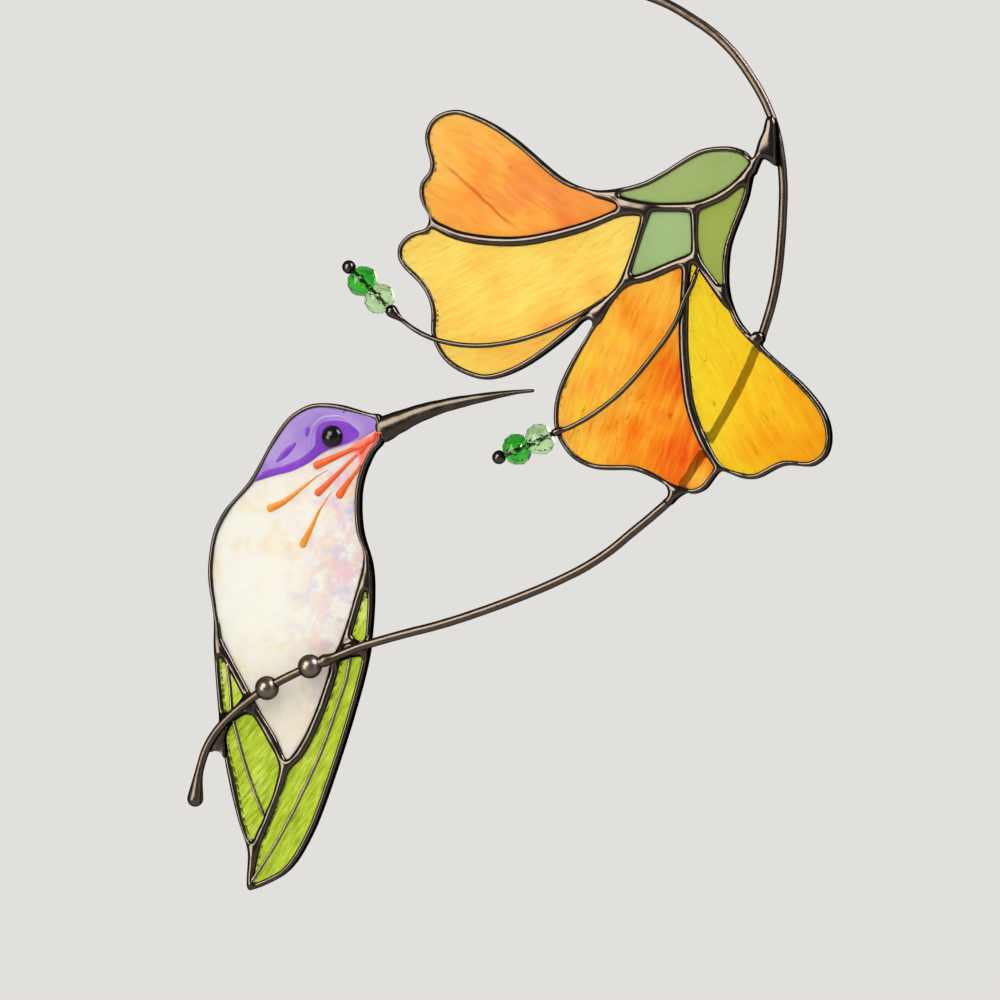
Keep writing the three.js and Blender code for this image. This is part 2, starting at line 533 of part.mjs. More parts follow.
// A stamen is one wire: a ball at its tip, two glass beads, a bulb of solder, and the length to the flower.
class Stamen {
  constructor({ ball, turn, bulbRadius, path }) {
    this.ball = vector(ball, STALK_Y);
    this.direction = vector(turn, STALK_Y).sub(this.ball).normalize();
    const first = BALL + GAP + RONDELLE.length / 2;
    this.beads = [first, first + RONDELLE.length + GAP];
    this.bulb = this.beads[1] + RONDELLE.length / 2 + GAP + 1.2;
    this.bulbRadius = bulbRadius;
    const straight = [0, this.bulb - 3, this.bulb - 1, this.bulb + 0.5].map((along) => this.at(along));
    this.curve = curveThrough([...straight.map(({ x, z }) => [x, z]), ...path], false, STALK_Y);
  }

  at(along) {
    return this.ball.clone().addScaledVector(this.direction, along);
  }

  // The wire and its bulb, or grown to cut room for them out of the flower.
  rings(growth = 0) {
    const bulb = [[-1.2, 0.55], [-1.05, 0.8], [-0.2, 1], [0.9, 0.85], [2.2, 0.55], [3.2, 0]]
      .map(([h, r]) => [h, Math.max(r * this.bulbRadius, STALK) + growth]);
    return swell(plainRings(this.curve.getLength(), STALK + growth, 5), this.bulb, bulb);
  }

  room() {
    return drawn(this.curve, this.rings(GAP), 8);
  }

  stalk() {
    return drawn(this.curve, swell(this.rings(), 0, ballProfile(BALL, STALK)), 8);
  }

  // A rondelle: two cones cut as facets, flat ends and a bore for the wire.
  bead(index) {
    const { radius, length } = RONDELLE;
    const bore = STALK + GAP + 0.1;
    const end = radius * 0.62;
    const half = length / 2;
    const profile = [[bore, -half], [end, -half], [radius, -half * 0.28], [radius, half * 0.28], [end, half],
      [bore, half], [bore, -half]];
    return turned(profile, 12, this.at(this.beads[index]), this.direction);
  }
}

// The beak tapers along its curve, and is flatter from front to back than it is high.
function beak(keepOff) {
  const curve = curveThrough(BEAK.path, false, BIRD_Y);
  const length = curve.getLength();
  const rings = Array.from({ length: BEAK.rings + 1 }, (_, i) => {
    const { x } = curve.getPointAt(i / BEAK.rings);
    const knot = Math.max(1, BEAK.path.findIndex((p) => p[0] >= x - 0.01));
    const t = (x - BEAK.path[knot - 1][0]) / (BEAK.path[knot][0] - BEAK.path[knot - 1][0]);
    const radius = THREE.MathUtils.lerp(BEAK.radii[knot - 1], BEAK.radii[knot], t);
    return { at: (length * i) / BEAK.rings, radius };
  });
  return drawn(curve, rings, 10, BEAK.flatten).subtract(keepOff);
}

// A stroke of enamel on the glass: a thin tail that swells to a round drop.
function stroke({ from, to, width }) {
  const face = BIRD_Y - GLASS / 2;
  const [a, b] = [vector(from, face), vector(to, face)];
  const length = a.distanceTo(b);
  const profile = STROKE_PROFILE.map(([r, h]) => [r * width, h * (length + width)]);
  return turned(profile, 8, a, b.sub(a).normalize(), STROKE_FLATTEN);
}

function eye() {
  const arc = Array.from({ length: 4 }, (_, i) => (i * Math.PI) / 8)
    .map((angle) => [EYE.radius * Math.cos(angle), EYE.height * Math.sin(angle)]);
  const profile = [[0, 0], ...arc, [0, EYE.height]].map(([r, h]) => new THREE.Vector2(r, h));
  const geometry = new THREE.LatheGeometry(profile, 14);
  geometry.rotateX(Math.PI);
  geometry.translate(EYE_AT[0], BIRD_Y - GLASS / 2 - GAP, EYE_AT[1]);
  return solidOf(geometry);
}

// Assembly.

const suncatcher = new THREE.Group();
const add = (name, solid, material) => suncatcher.add(meshOf(name, solid, material));

const flower = new Panel(FLOWER_RIM, FLOWER_SEAMS, FLOWER_PANES, FLOWER_Y);
const bird = new Panel(BIRD_RIM, BIRD_SEAMS, BIRD_PANES, BIRD_Y);
const twigRoom = drawn(TWIG_CURVE, twigRings(TWIG + GAP), 8);
const upper = new Stamen(UPPER_STAMEN);
const lower = new Stamen(LOWER_STAMEN);
const veinWire = (name, growth = 0) => {
  const curve = curveThrough(VEINS[name], false, VEIN_Y);
  return drawn(curve, plainRings(curve.getLength(), VEIN + growth, 7), 6);
};

const strokes = STROKES.map(stroke);
const birdBody = strokes.reduce((solid, drop) => solid.add(drop), bird.pane('bird_body'));
for (const name of Object.keys(FLOWER_PANES)) add(name, flower.pane(name), FINISHES[name]);
add('bird_body', birdBody, FINISHES.bird_body);
for (const name of Object.keys(BIRD_PANES).slice(1)) add(name, bird.pane(name), FINISHES[name]);

const flowerWeb = (loop) => slab(loop, WEB.flowerDepth, WEB.flowerY, WEB.bevel, WEB.bevel);
const flowerTies = [flowerWeb(STUB), flowerWeb(EXIT), blob(FLOWER_TACK, FLOWER_TACK_SIZE)];
const flowerSolder = flower.frame(flowerTies)
  .subtract(twigRoom)
  .subtract(upper.room())
  .subtract(lower.room());
add('flower_solder', flowerSolder, PATINA);

const { y: tackY, radius: tackRadius } = BIRD_TACK;
const birdTies = BIRD_TACKS.map(([x, z]) => blob([x, z, tackY], [tackRadius, tackRadius, tackRadius], 6));
birdTies.push(slab(CROOK, WEB.birdDepth, WEB.birdY, WEB.bevel, WEB.bevel));
const birdSolder = Object.keys(VEINS).reduce((solid, name) => solid.subtract(veinWire(name, GAP)),
  bird.frame(birdTies).subtract(twigRoom));
add('bird_solder', birdSolder, PATINA);

add('twig', twig(), COPPER_BROWN);
add('hanging_ring', hangingRing().subtract(twigRoom), COPPER_BROWN);
for (const [name, at] of Object.entries(FEET)) add(name, footBead(at), PATINA);
add('stamen_upper', upper.stalk(), PATINA);
add('stamen_lower', lower.stalk(), PATINA);
add('bead_upper_dark', upper.bead(0), DARK_BEAD);
add('bead_upper_pale', upper.bead(1), PALE_BEAD);
add('bead_lower_dark', lower.bead(0), DARK_BEAD);
add('bead_lower_pale', lower.bead(1), PALE_BEAD);
for (const name of Object.keys(VEINS)) add(name, veinWire(name), PATINA);
add('beak', beak(slab(grownLoop(thinnedLoop(bird.outline), GAP), FRAME + 2 * GAP, BIRD_Y)), PATINA);
add('eye', eye(), BLACK_GLASS);

suncatcher.position.set(-HANG.x, 0, -HANG.z);
export default suncatcher;
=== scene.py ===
"""A stained glass suncatcher: a hummingbird perched on a twig of wire, beside a trumpet flower.

Panes of hand-rolled glass are wrapped in foil and joined by beads of dark solder. Every piece is built on the
solid that stands for it: the outline of a pane, the seams between panes and the line of a wire are all taken
from the solids, smoothed, and given the fine shape that the solids leave out. Sizes in here are millimetres,
and the meshes are metres. X runs right, Y away from the viewer and Z up.
"""

import sys
import logging  # noqa: E402
import math  # noqa: E402
from dataclasses import dataclass, field  # noqa: E402
from enum import Enum  # noqa: E402

import bpy  # noqa: E402
import numpy as np  # noqa: E402
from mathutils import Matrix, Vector  # noqa: E402
from mathutils.geometry import delaunay_2d_cdt  # noqa: E402


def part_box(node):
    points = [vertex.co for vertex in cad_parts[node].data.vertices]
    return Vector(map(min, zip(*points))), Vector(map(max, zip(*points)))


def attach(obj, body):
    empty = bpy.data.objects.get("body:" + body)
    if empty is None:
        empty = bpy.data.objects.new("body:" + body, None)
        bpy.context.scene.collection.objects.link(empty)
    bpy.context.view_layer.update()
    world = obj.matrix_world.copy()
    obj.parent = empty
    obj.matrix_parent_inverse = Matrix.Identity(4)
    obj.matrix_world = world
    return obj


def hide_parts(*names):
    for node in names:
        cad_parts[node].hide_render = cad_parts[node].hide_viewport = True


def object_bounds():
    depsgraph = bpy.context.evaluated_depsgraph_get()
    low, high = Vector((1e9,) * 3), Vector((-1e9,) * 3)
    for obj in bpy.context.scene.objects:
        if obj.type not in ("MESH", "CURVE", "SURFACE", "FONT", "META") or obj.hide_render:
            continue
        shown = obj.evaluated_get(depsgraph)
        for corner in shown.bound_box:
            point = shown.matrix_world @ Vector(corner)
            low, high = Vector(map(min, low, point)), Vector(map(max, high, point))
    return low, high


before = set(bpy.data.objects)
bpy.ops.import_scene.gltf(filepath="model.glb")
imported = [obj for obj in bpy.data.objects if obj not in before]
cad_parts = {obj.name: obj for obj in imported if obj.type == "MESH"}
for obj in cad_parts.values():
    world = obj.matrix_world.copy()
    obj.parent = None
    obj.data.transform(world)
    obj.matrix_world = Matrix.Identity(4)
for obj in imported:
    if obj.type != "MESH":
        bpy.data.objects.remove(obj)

CAD_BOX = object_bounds()
log = logging.getLogger("suncatcher")

Array = np.ndarray
Spots = tuple[tuple[float, float, float, float], ...]  # for each place its X, Z, reach, and how much is done
MM = 0.001
SAME_PLACE = 1e-3  # corners of a solid closer than this are one corner
DOUBLED = 2e-3  # points of a loop closer than this are one point
STRAIGHT = math.radians(0.7)  # a loop that turns by less than this at a point runs straight through it
PAIRS_AT_ONCE = 4_000_000  # the most pairs of a point and a side that are worked on together
SIDES = [[0, 1], [1, 2], [2, 0]]  # the corners that each side of a triangle joins

# Where the drawing's own zero lies, below the hanging ring and to its right.
DRAWING = np.array([2.9, -137.3])

FLOWER_FRONT = -5.5  # front face of the flower's glass
FLOWER_BACK = -2.5
BIRD_FRONT = 2.5
BIRD_BACK = 5.5


class Slot(Enum):
    """The record's material slots."""

    ORANGE = "glass_orange"
    YELLOW = "glass_yellow"
    DEEP_ORANGE = "glass_deep_orange"
    AMBER = "glass_amber"
    SAGE = "glass_sage"
    IVORY = "glass_ivory"
    LIME = "glass_lime"
    SOLDER = "solder"
    WIRE = "wire"
    BEAD_DARK = "bead_dark"
    BEAD_PALE = "bead_pale"
    EYE = "eye"


# Small sums that many shapes need.


def unit(vectors: Array) -> Array:
    """Vectors, one a row, each brought to a length of one."""
    return vectors / np.maximum(np.linalg.norm(vectors, axis=-1, keepdims=True), 1e-12)


def cross(a: Array, b: Array) -> Array:
    """The cross product of flat vectors, one a row: twice the signed area between them."""
    return a[..., 0] * b[..., 1] - a[..., 1] * b[..., 0]


def square_to(along: Array) -> tuple[Array, Array]:
    """Two directions square to each one given and to each other. The first is square to Y too, or is X.

    Args:
        along: The directions, each of length one.

    Returns:
        The two directions for each of them.
    """
    across = np.cross(along, [0.0, 1.0, 0.0])
    slanted = np.linalg.norm(across, axis=-1, keepdims=True) > 1e-6
    across = np.where(slanted, unit(across), [1.0, 0.0, 0.0])
    return across, np.cross(across, along)


def run_of(line: Array) -> Array:
    """How far along a line each of its points is."""
    return np.concatenate([[0], np.cumsum(np.linalg.norm(np.diff(line, axis=0), axis=1))])


def gently(share: Array) -> Array:
    """A share from 0 to 1 that sets off and arrives gently: its square times (3 - 2 share)."""
    return share * share * (3 - 2 * share)


def angles(count: int) -> Array:
    """That many angles, evenly spaced round a circle."""
    return 2 * np.pi * np.arange(count) / count


def capped(height: Array, most: float) -> Array:
    """Heights eased so that none passes `most`."""
    return height / (1 + (height / most) ** 4) ** 0.25


# Curves and loops. A loop is an array of [x, z] points in order, and its last point joins its first.


def through(points: Array, closed: bool, step: float) -> Array:
    """A smooth curve through points, as points about `step` apart.

    Centripetal Catmull-Rom: between two points the curve blends the lines through four neighbours, with knots
    spaced by the square root of the distances between them, so that it neither loops nor overshoots.

    Args:
        points: The points, one a row, in any number of dimensions.
        closed: Whether the last point joins the first.
        step: The spacing of the result, measured in the first two or three dimensions alike.

    Returns:
        The points of the curve. A closed curve doesn't repeat its first point.
    """
    if closed:
        p0, p1, p2, p3 = (np.roll(points, shift, 0) for shift in (1, 0, -1, -2))
    else:
        ends = np.vstack([2 * points[0] - points[1], points, 2 * points[-1] - points[-2]])
        p0, p1, p2, p3 = ends[:-3], ends[1:-2], ends[2:-1], ends[3:]
    gaps = [np.sqrt(np.linalg.norm(b - a, axis=1)) + 1e-9 for a, b in ((p0, p1), (p1, p2), (p2, p3))]
    t1, t2, t3 = gaps[0], gaps[0] + gaps[1], gaps[0] + gaps[1] + gaps[2]
    t0, t1, t2, t3 = (t[:, None, None] for t in (np.zeros_like(t1), t1, t2, t3))
    t = t1 + (t2 - t1) * np.linspace(0, 1, 24, endpoint=False)[None, :, None]
    q0, q1, q2, q3 = (p[:, None, :] for p in (p0, p1, p2, p3))
    a1 = (q0 * (t1 - t) + q1 * (t - t0)) / (t1 - t0)
    a2 = (q1 * (t2 - t) + q2 * (t - t1)) / (t2 - t1)
    a3 = (q2 * (t3 - t) + q3 * (t - t2)) / (t3 - t2)
    b1 = (a1 * (t2 - t) + a2 * (t - t0)) / (t2 - t0)
    b2 = (a2 * (t3 - t) + a3 * (t - t1)) / (t3 - t1)
    fine = ((b1 * (t2 - t) + b2 * (t - t1)) / (t2 - t1)).reshape(-1, points.shape[1])
    fine = np.vstack([fine, points[0] if closed else points[-1]])
    return spaced(fine, step)[:-1] if closed else spaced(fine, step)


def spaced(line: Array, step: float) -> Array:
    """The points of a line laid out again at an even spacing of about `step`.

    Args:
        line: The line's points, one a row.
        step: The spacing.

    Returns:
        The new points.
    """
    run = run_of(line)
    at = np.linspace(0, run[-1], max(3, round(run[-1] / step)) + 1)
    return np.stack([np.interp(at, run, column) for column in line.T], 1)


def signed_area(loop: Array) -> float:
    """The area inside a loop, negative when it runs clockwise as seen from the front."""
    return float(cross(loop, np.roll(loop, -1, 0)).sum() / 2)


def leftwards(loop: Array) -> Array:
    """The direction to the left of a loop at each of its points, as seen by someone who walks along it."""
    heading = unit(np.roll(loop, -1, 0) - np.roll(loop, 1, 0))
    return np.stack([-heading[:, 1], heading[:, 0]], 1)


def eased(loop: Array, spots: Spots) -> Array:
    """A loop moved to its left round some places, by an amount that eases off round each of them.

    Args:
        loop: Its points.
        spots: For each place, its two coordinates, its reach and how far the loop moves there.

    Returns:
        The moved loop.
    """
    moved, inwards = loop.copy(), leftwards(loop)
    for x, z, reach, much in spots:
        share = np.clip(1 - np.linalg.norm(loop - [x, z], axis=1) / reach, 0, 1)
        moved += (much * gently(share))[:, None] * inwards
    return moved


def sides_of(loops: list[Array]) -> tuple[Array, Array]:
    """Where each side of some loops starts, and where it ends."""
    return np.vstack(loops), np.vstack([np.roll(loop, -1, 0) for loop in loops])


def batches(points: Array, sides: int) -> list[Array]:
    """Points in groups that are small enough to be set against that many sides at once."""
    return np.array_split(points, max(1, len(points) * sides // PAIRS_AT_ONCE))


def clearance(points: Array, a: Array, b: Array) -> Array:
    """The distance from each point to the nearest of the straight lines a to b.

    Args:
        points: The points, one a row.
        a: Where each line starts.
        b: Where each line ends.

    Returns:
        A distance for each point.
    """
    along = b - a
    length = (along**2).sum(1) + 1e-12
    found = []
    for part in batches(points, len(a)):
        offset = part[:, None, :] - a[None]
        t = np.clip((offset * along).sum(-1) / length, 0, 1)
        found.append(np.sqrt(((offset - t[..., None] * along) ** 2).sum(-1).min(1)))
    return np.concatenate(found)


def within(points: Array, loops: list[Array]) -> Array:
    """Whether each point is inside the loops, counting how often a line to its right crosses them.

    Args:
        points: The points, one a row.
        loops: The loops, in any order.

    Returns:
        Whether it is inside, for each point.
    """
    a, b = sides_of(loops)
    inside = []
    for part in batches(points, len(a)):
        x, z = part[:, None, 0], part[:, None, 1]
        spans = (a[:, 1] > z) != (b[:, 1] > z)
        rise = np.where(b[:, 1] == a[:, 1], 1.0, b[:, 1] - a[:, 1])
        crossing = a[:, 0] + (z - a[:, 1]) * (b[:, 0] - a[:, 0]) / rise
        inside.append((spans & (x < crossing)).sum(1) % 2 == 1)
    return np.concatenate(inside)


# Reading the solids.


def in_threes(items: bpy.types.bpy_prop_collection, name: str, each: int, kind: type = float) -> Array:
    """A property of all items of a mesh, which has `each` numbers for every item, as rows of three.

    Args:
        items: The items, such as a mesh's vertices.
        name: The property's name.
        each: How many numbers an item has.
        kind: What kind of number they are.

    Returns:
        The numbers, three a row.
    """
    values = np.empty(len(items) * each, kind)
    items.foreach_get(name, values)
    return values.reshape(-1, 3)


def solid_mesh(node: str) -> tuple[Array, Array]:
    """The corners of a solid in millimetres and its triangles, with corners in one place made one.

    Args:
        node: The solid's name.

    Returns:
        The corners, one a row, and the three corner numbers of each triangle.
    """
    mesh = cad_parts[node].data
    corners = in_threes(mesh.vertices, "co", 3) / MM
    triangles = in_threes(mesh.loops, "vertex_index", 1, int)
    keys = np.round(corners / SAME_PLACE).astype(np.int64)
    _, first, inverse = np.unique(keys, axis=0, return_index=True, return_inverse=True)
    return corners[first], inverse.ravel()[triangles]


def section(node: str, depth: float) -> list[Array]:
    """The loops where the plane y = depth cuts a solid, running with the solid on their left.

    Each triangle that the plane crosses gives a segment between two edges of the solid, and segments that
    share an edge are joined end to end. Points in the middle of a straight run are dropped.

    Args:
        node: The solid's name.
        depth: Where the plane is.

    Returns:
        The loops, the largest first.
    """
    corners, triangles = solid_mesh(node)
    above = corners[:, 1] > depth
    edges = triangles[:, SIDES]
    crossed = above[edges[..., 0]] != above[edges[..., 1]]
    cut = crossed.sum(1) == 2
    ends = np.sort(edges[cut][crossed[cut]].reshape(-1, 2, 2), -1)
    keys, links = np.unique(ends[..., 0] * len(corners) + ends[..., 1], return_inverse=True)
    a, b = corners[keys // len(corners)], corners[keys % len(corners)]
    places = (a + (b - a) * ((depth - a[:, 1]) / (b[:, 1] - a[:, 1]))[:, None])[:, [0, 2]]
    beside: dict[int, list[int]] = {}
    for one, other in links.reshape(-1, 2).tolist():
        beside.setdefault(one, []).append(other)
        beside.setdefault(other, []).append(one)
    loops = []
    while beside:
        start = next(iter(beside))
        order, at = [start], beside.pop(start)[0]
        while at in beside:
            order.append(at)
            options = beside.pop(at)
            at = options[0] if options[0] in beside else options[1]
        loops.append(without_straights(places[order]))
    return nested(loops)


def without_straights(loop: Array) -> Array:
    """A loop without the points at which it hardly turns, and without doubles.

    Args:
        loop: Its points.

    Returns:
        The points that are left.
    """
    loop = loop[np.linalg.norm(loop - np.roll(loop, 1, 0), axis=1) > DOUBLED]
    before, after = loop - np.roll(loop, 1, 0), np.roll(loop, -1, 0) - loop
    turn = np.arctan2(np.abs(cross(before, after)), (before * after).sum(1))
    return loop[turn > STRAIGHT]


def nested(loops: list[Array]) -> list[Array]:
    """Loops turned so that an outer one runs anticlockwise, and one inside another clockwise.

    Args:
        loops: The loops, running either way round.

    Returns:
        The loops, the largest first.
    """
    turned = []
    for i, loop in enumerate(loops):
        others = [other for j, other in enumerate(loops) if j != i]
        hole = bool(others) and bool(within(loop[:1], others)[0])
        turned.append(loop if (signed_area(loop) < 0) == hole else loop[::-1])
    return sorted(turned, key=lambda loop: -abs(signed_area(loop)))


@dataclass(frozen=True)
class Line:
    """A wire's own line: the middle of each ring of a swept solid, with its half height and half depth."""

    middles: Array
    heights: Array
    depths: Array

    @classmethod
    def of(cls, node: str, from_right: bool = False) -> "Line":
        """Reads a solid that was swept along a curve.

        Edges counted from the pole at one end give every corner the number of its ring, so the mean of the
        corners with one number is a point of the wire's own line.

        Args:
            node: The solid's name.
            from_right: Whether to start from the pole at the right end, for a solid whose other end is cut.

        Returns:
            The line, from pole to pole.
        """
        corners, triangles = solid_mesh(node)
        off_centre = away_from_neighbours(corners, triangles)
        right_end = 0.6
        if from_right:
            off_centre[corners[:, 0] < corners[:, 0].max() - right_end] = np.inf
        ring = rings_from(triangles, int(off_centre.argmin()), len(corners))
        number = np.bincount(ring)
        sides = number[1]
        whole = np.flatnonzero(number[1:] == sides) + 1
        if from_right:
            whole = np.arange(1, np.flatnonzero(number[1:] != sides)[0] + 1)
        middles = np.array([corners[ring == k].mean(0) for k in whole])
        spokes = [corners[ring == k] - middle for k, middle in zip(whole, middles)]
        heights = np.array([np.linalg.norm(spoke[:, [0, 2]], axis=1).max() for spoke in spokes])
        furthest = np.abs(np.sin(angles(sides))).max()
        depths = np.array([np.abs(spoke[:, 1]).max() for spoke in spokes]) / furthest
        return cls(middles, heights, depths)

    def carried_on(self, run: float) -> "Line":
        """The line carried on straight past its last point by `run`, growing half as fast as it did there.

        Args:
            run: How far it is carried on.

        Returns:
            The longer line.
        """
        last = self.middles[-1] - self.middles[-2]
        share = run / np.linalg.norm(last)
        heights, depths = (np.append(part, part[-1] + 0.5 * share * (part[-1] - part[-2]))
                           for part in (self.heights, self.depths))
        return Line(np.vstack([self.middles, self.middles[-1] + share * last]), heights, depths)

    def flowed(self, slope: float, end: float = 4.0, blunt: float = 0.12) -> "Line":
        """The line with each swelling tapered off along it, where the metal ran, and with round ends.

        Args:
            slope: How fast the thickness falls off along the line.
            end: How long each end is. It closes like a ball as thick as the wire is there.
            blunt: How far from the ball's pole the very end is.

        Returns:
            The tapered line.
        """
        run = run_of(self.middles)
        fall = slope * np.abs(run[:, None] - run)
        parts = []
        for part in (self.heights, self.depths):
            thick = (part - fall).max(1)
            for left in (run, run[-1] - run):
                ball = thick[left < end].max()
                left = np.minimum(left + blunt, ball)
                thick = np.minimum(thick, np.where(left < ball, np.sqrt(left * (2 * ball - left)), thick))
            parts.append(thick)
        return Line(self.middles, *parts)

    def longer(self, run: float) -> "Line":
        """The line carried on straight by `run` at both ends."""
        return self.carried_on(run).flipped().carried_on(run).flipped()

    def flipped(self) -> "Line":
        """The line run the other way."""
        return Line(self.middles[::-1], self.heights[::-1], self.depths[::-1])

    def melted(self, length: float, sink: float) -> "Line":
        """The line with its right end thinned and sunk back into the solder behind it, over a `length`.

        Args:
            length: How much of it has melted.
            sink: How far back its very end has sunk.

        Returns:
            The melted line.
        """
        flip = -1 if self.middles[0, 0] > self.middles[-1, 0] else 1
        middles, heights, depths = (part[::flip] for part in (self.middles, self.heights, self.depths))
        run = run_of(middles)
        share = gently(np.clip(1 - (run[-1] - run) / length, 0, 1))
        sunk = middles + share[:, None] * [0, sink, 0]
        return Line(sunk, heights * (1 - 0.5 * share), depths * (1 - 0.4 * share))

    def rounded(self, step: float) -> "Line":
        """The line drawn finer, closed to a round point at each end.

        Args:
            step: The spacing of its points.

        Returns:
            The finer line.
        """
        nose = 0.2  # how far each point stands out, as a share of the half height there
        outwards = unit(self.middles[[0, -1]] - self.middles[[1, -2]])
        head, tail = self.middles[[0, -1]] + outwards * self.heights[[0, -1], None] * nose
        table = np.column_stack([self.middles, self.heights, self.depths])
        table = np.vstack([[*head, 0, 0], table, [*tail, 0, 0]])
        table = through(table, False, step)
        return Line(table[:, :3], np.maximum(table[:, 3], 0), np.maximum(table[:, 4], 0))


def away_from_neighbours(corners: Array, triangles: Array) -> Array:
    """How far each corner is from the mean of those it has an edge to: nought at the pole of a flat end.

    Args:
        corners: The solid's corners.
        triangles: Its triangles.

    Returns:
        A distance for each corner.
    """
    edges = np.unique(np.sort(triangles[:, SIDES].reshape(-1, 2), 1), axis=0)
    both = np.vstack([edges, edges[:, ::-1]])
    number = np.bincount(both[:, 0], minlength=len(corners))
    total = np.stack([np.bincount(both[:, 0], column[both[:, 1]], len(corners)) for column in corners.T], 1)
    return np.linalg.norm(corners - total / number[:, None], axis=1)


def rings_from(triangles: Array, start: int, count: int) -> Array:
    """How many edges each corner is from the start, found by spreading one edge at a time.

    Args:
        triangles: The solid's triangles.
        start: The corner to start from.
        count: How many corners there are.

    Returns:
        A number of edges for each corner.
    """
    edges = triangles[:, SIDES].reshape(-1, 2)
    ring = np.full(count, -1)
    ring[start] = 0
    level = 0
    while True:
        reached = edges[ring[edges[:, 0]] == level][:, 1]
        reached = np.concatenate([reached, edges[ring[edges[:, 1]] == level][:, 0]])
        fresh = np.unique(reached[ring[reached] < 0])
        if not len(fresh):
            return ring
        level += 1
        ring[fresh] = level


# Surfaces.


@dataclass
class Surface:
    """A mesh being made: its points in millimetres, and faces of three or four points."""

    points: list[Array] = field(default_factory=list)
    faces: list[list[int]] = field(default_factory=list)
    count: int = 0

    def put(self, points: Array) -> Array:
        """Adds points, one a row, and gives their numbers.

        Args:
            points: The points.

        Returns:
            Their numbers.
        """
        self.points.append(np.asarray(points, float))
        self.count += len(points)
        return np.arange(self.count - len(points), self.count)

    def add(self, points: Array, faces: Array) -> "Surface":
        """Adds points, one a row, and faces that number them from nought."""
        self.faces.extend((np.asarray(faces) + self.put(points)[0]).tolist())
        return self

    def joined(self, other: "Surface") -> "Surface":
        """Takes in another surface's points and faces.

        Args:
            other: The surface to take in.

        Returns:
            This surface.
        """
        self.faces.extend([[i + self.count for i in face] for face in other.faces])
        self.points.extend(other.points)
        self.count += other.count
        return self

    def built(self, name: str, smooth: bool = True, held: bool = True) -> bpy.types.Object:
        """Puts the points and faces into a new object in the scene.

        Args:
            name: The object's name.
            smooth: Whether its faces are shaded as one rounded surface.
            held: Whether its points are kept inside the solids' own box.

        Returns:
            The object, which sits at the origin.
        """
        mesh = bpy.data.meshes.new(name)
        places = np.vstack(self.points) * MM
        if held:
            places = np.clip(places, *CAD_BOX)
        mesh.from_pydata(places.tolist(), [], self.faces)
        mesh.validate()
        mesh.polygons.foreach_set("use_smooth", np.full(len(mesh.polygons), smooth))
        mesh.update()
        made = bpy.data.objects.new(name, mesh)
        bpy.context.scene.collection.objects.link(made)
        return made


def tube_faces(rows: int, around: int) -> Array:
    """Faces of a grid of `rows` rings of `around` points, closed the long way round.

    Args:
        rows: How many rings there are.
        around: How many points a ring has.

    Returns:
        The four point numbers of each face.
    """
    row, column = np.meshgrid(np.arange(rows - 1), np.arange(around), indexing="ij")
    here, beside = row * around + column, row * around + (column + 1) % around
    return np.stack([here, beside, beside + around, here + around], -1).reshape(-1, 4)


def lidded(rings: Array, head: Array, tail: Array) -> Surface:
    """A tube of rings, one a row, closed to a point at either end.

    Args:
        rings: The points of the rings, in order.
        head: The point before the first ring.
        tail: The point after the last ring.

    Returns:
        The closed tube.
    """
    rows, around = rings.shape[:2]
    surface = Surface().add(rings.reshape(-1, 3), tube_faces(rows, around))
    first = np.arange(around)
    last = (rows - 1) * around + first
    start, end = surface.put(np.array([head, tail]))
    for pole, here, beside in ((start, np.roll(first, -1), first), (end, last, np.roll(last, -1))):
        surface.faces.extend(np.stack([np.full(around, pole), here, beside], 1).tolist())
    return surface


def looped(rings: Array) -> Surface:
    """A tube of rings, one a row, whose last ring joins its first."""
    rows, around = rings.shape[:2]
    return Surface().add(rings.reshape(-1, 3), tube_faces(rows + 1, around) % (rows * around))


def swept(line: Line, around: int = 20, wander: float = 0.0, seed: int = 0) -> Surface:
    """A wire: at each point of its line, an oval square to the line, with a point at either end.

    A point of the surface is middle(s) + height(s) cos(a) * side(s) + depth(s) sin(a) * back(s), where side
    is square to the line and to Y, back is square to both, s runs along the line and a round it.

    Args:
        line: The wire's own line, closed at both ends.
        around: How many points make a ring.
        wander: The share by which the thickness wavers along the wire.
        seed: Which of the wavers it is.

    Returns:
        The wire's surface.
    """
    middles = line.middles
    side, back = square_to(unit(np.gradient(middles, axis=0)))
    angle = angles(around)
    skin = np.stack(np.meshgrid(run_of(middles), angle, indexing="ij"), -1)
    swell = 1 + wander * ripple(skin.reshape(-1, 2), 4.0, seed).reshape(-1, around)
    across = (line.heights[:, None] * np.cos(angle) * swell)[..., None] * side[:, None, :]
    deep = (line.depths[:, None] * np.sin(angle) * swell)[..., None] * back[:, None, :]
    return lidded((middles[:, None, :] + across + deep)[1:-1], middles[0], middles[-1])


def rings_about(profile: Array, at: Array, axis: Array, angle: Array) -> Array:
    """Rings of points round an axis, one ring a row.

    A point is at + height * axis + radius (cos(a) * across + sin(a) * deep), with a round the axis.

    Args:
        profile: The radius and the height of each ring.
        at: Where a height is nought.
        axis: The direction of the axis.
        angle: The angles a of the points, the same for all rings or one row for each.

    Returns:
        The points, one ring a row.
    """
    across, deep = square_to(axis)
    spoke = np.cos(angle)[..., None] * across + np.sin(angle)[..., None] * deep
    return at + profile[:, 1, None, None] * axis + profile[:, 0, None, None] * spoke


def turned(profile: Array, at: Array, axis: Array, around: int) -> Surface:
    """A turned shape: a profile carried round an axis.

    Args:
        profile: The radius and height of its points. The last joins the first unless both lie on the axis.
        at: Where the profile's height is nought.
        axis: The direction of the axis.
        around: How many points make a ring.

    Returns:
        The shape's surface.
    """
    rings = rings_about(profile, at, axis, angles(around))
    if profile[0, 0] > 0:
        return looped(rings)
    return lidded(rings[1:-1], rings[0, 0], rings[-1, 0])


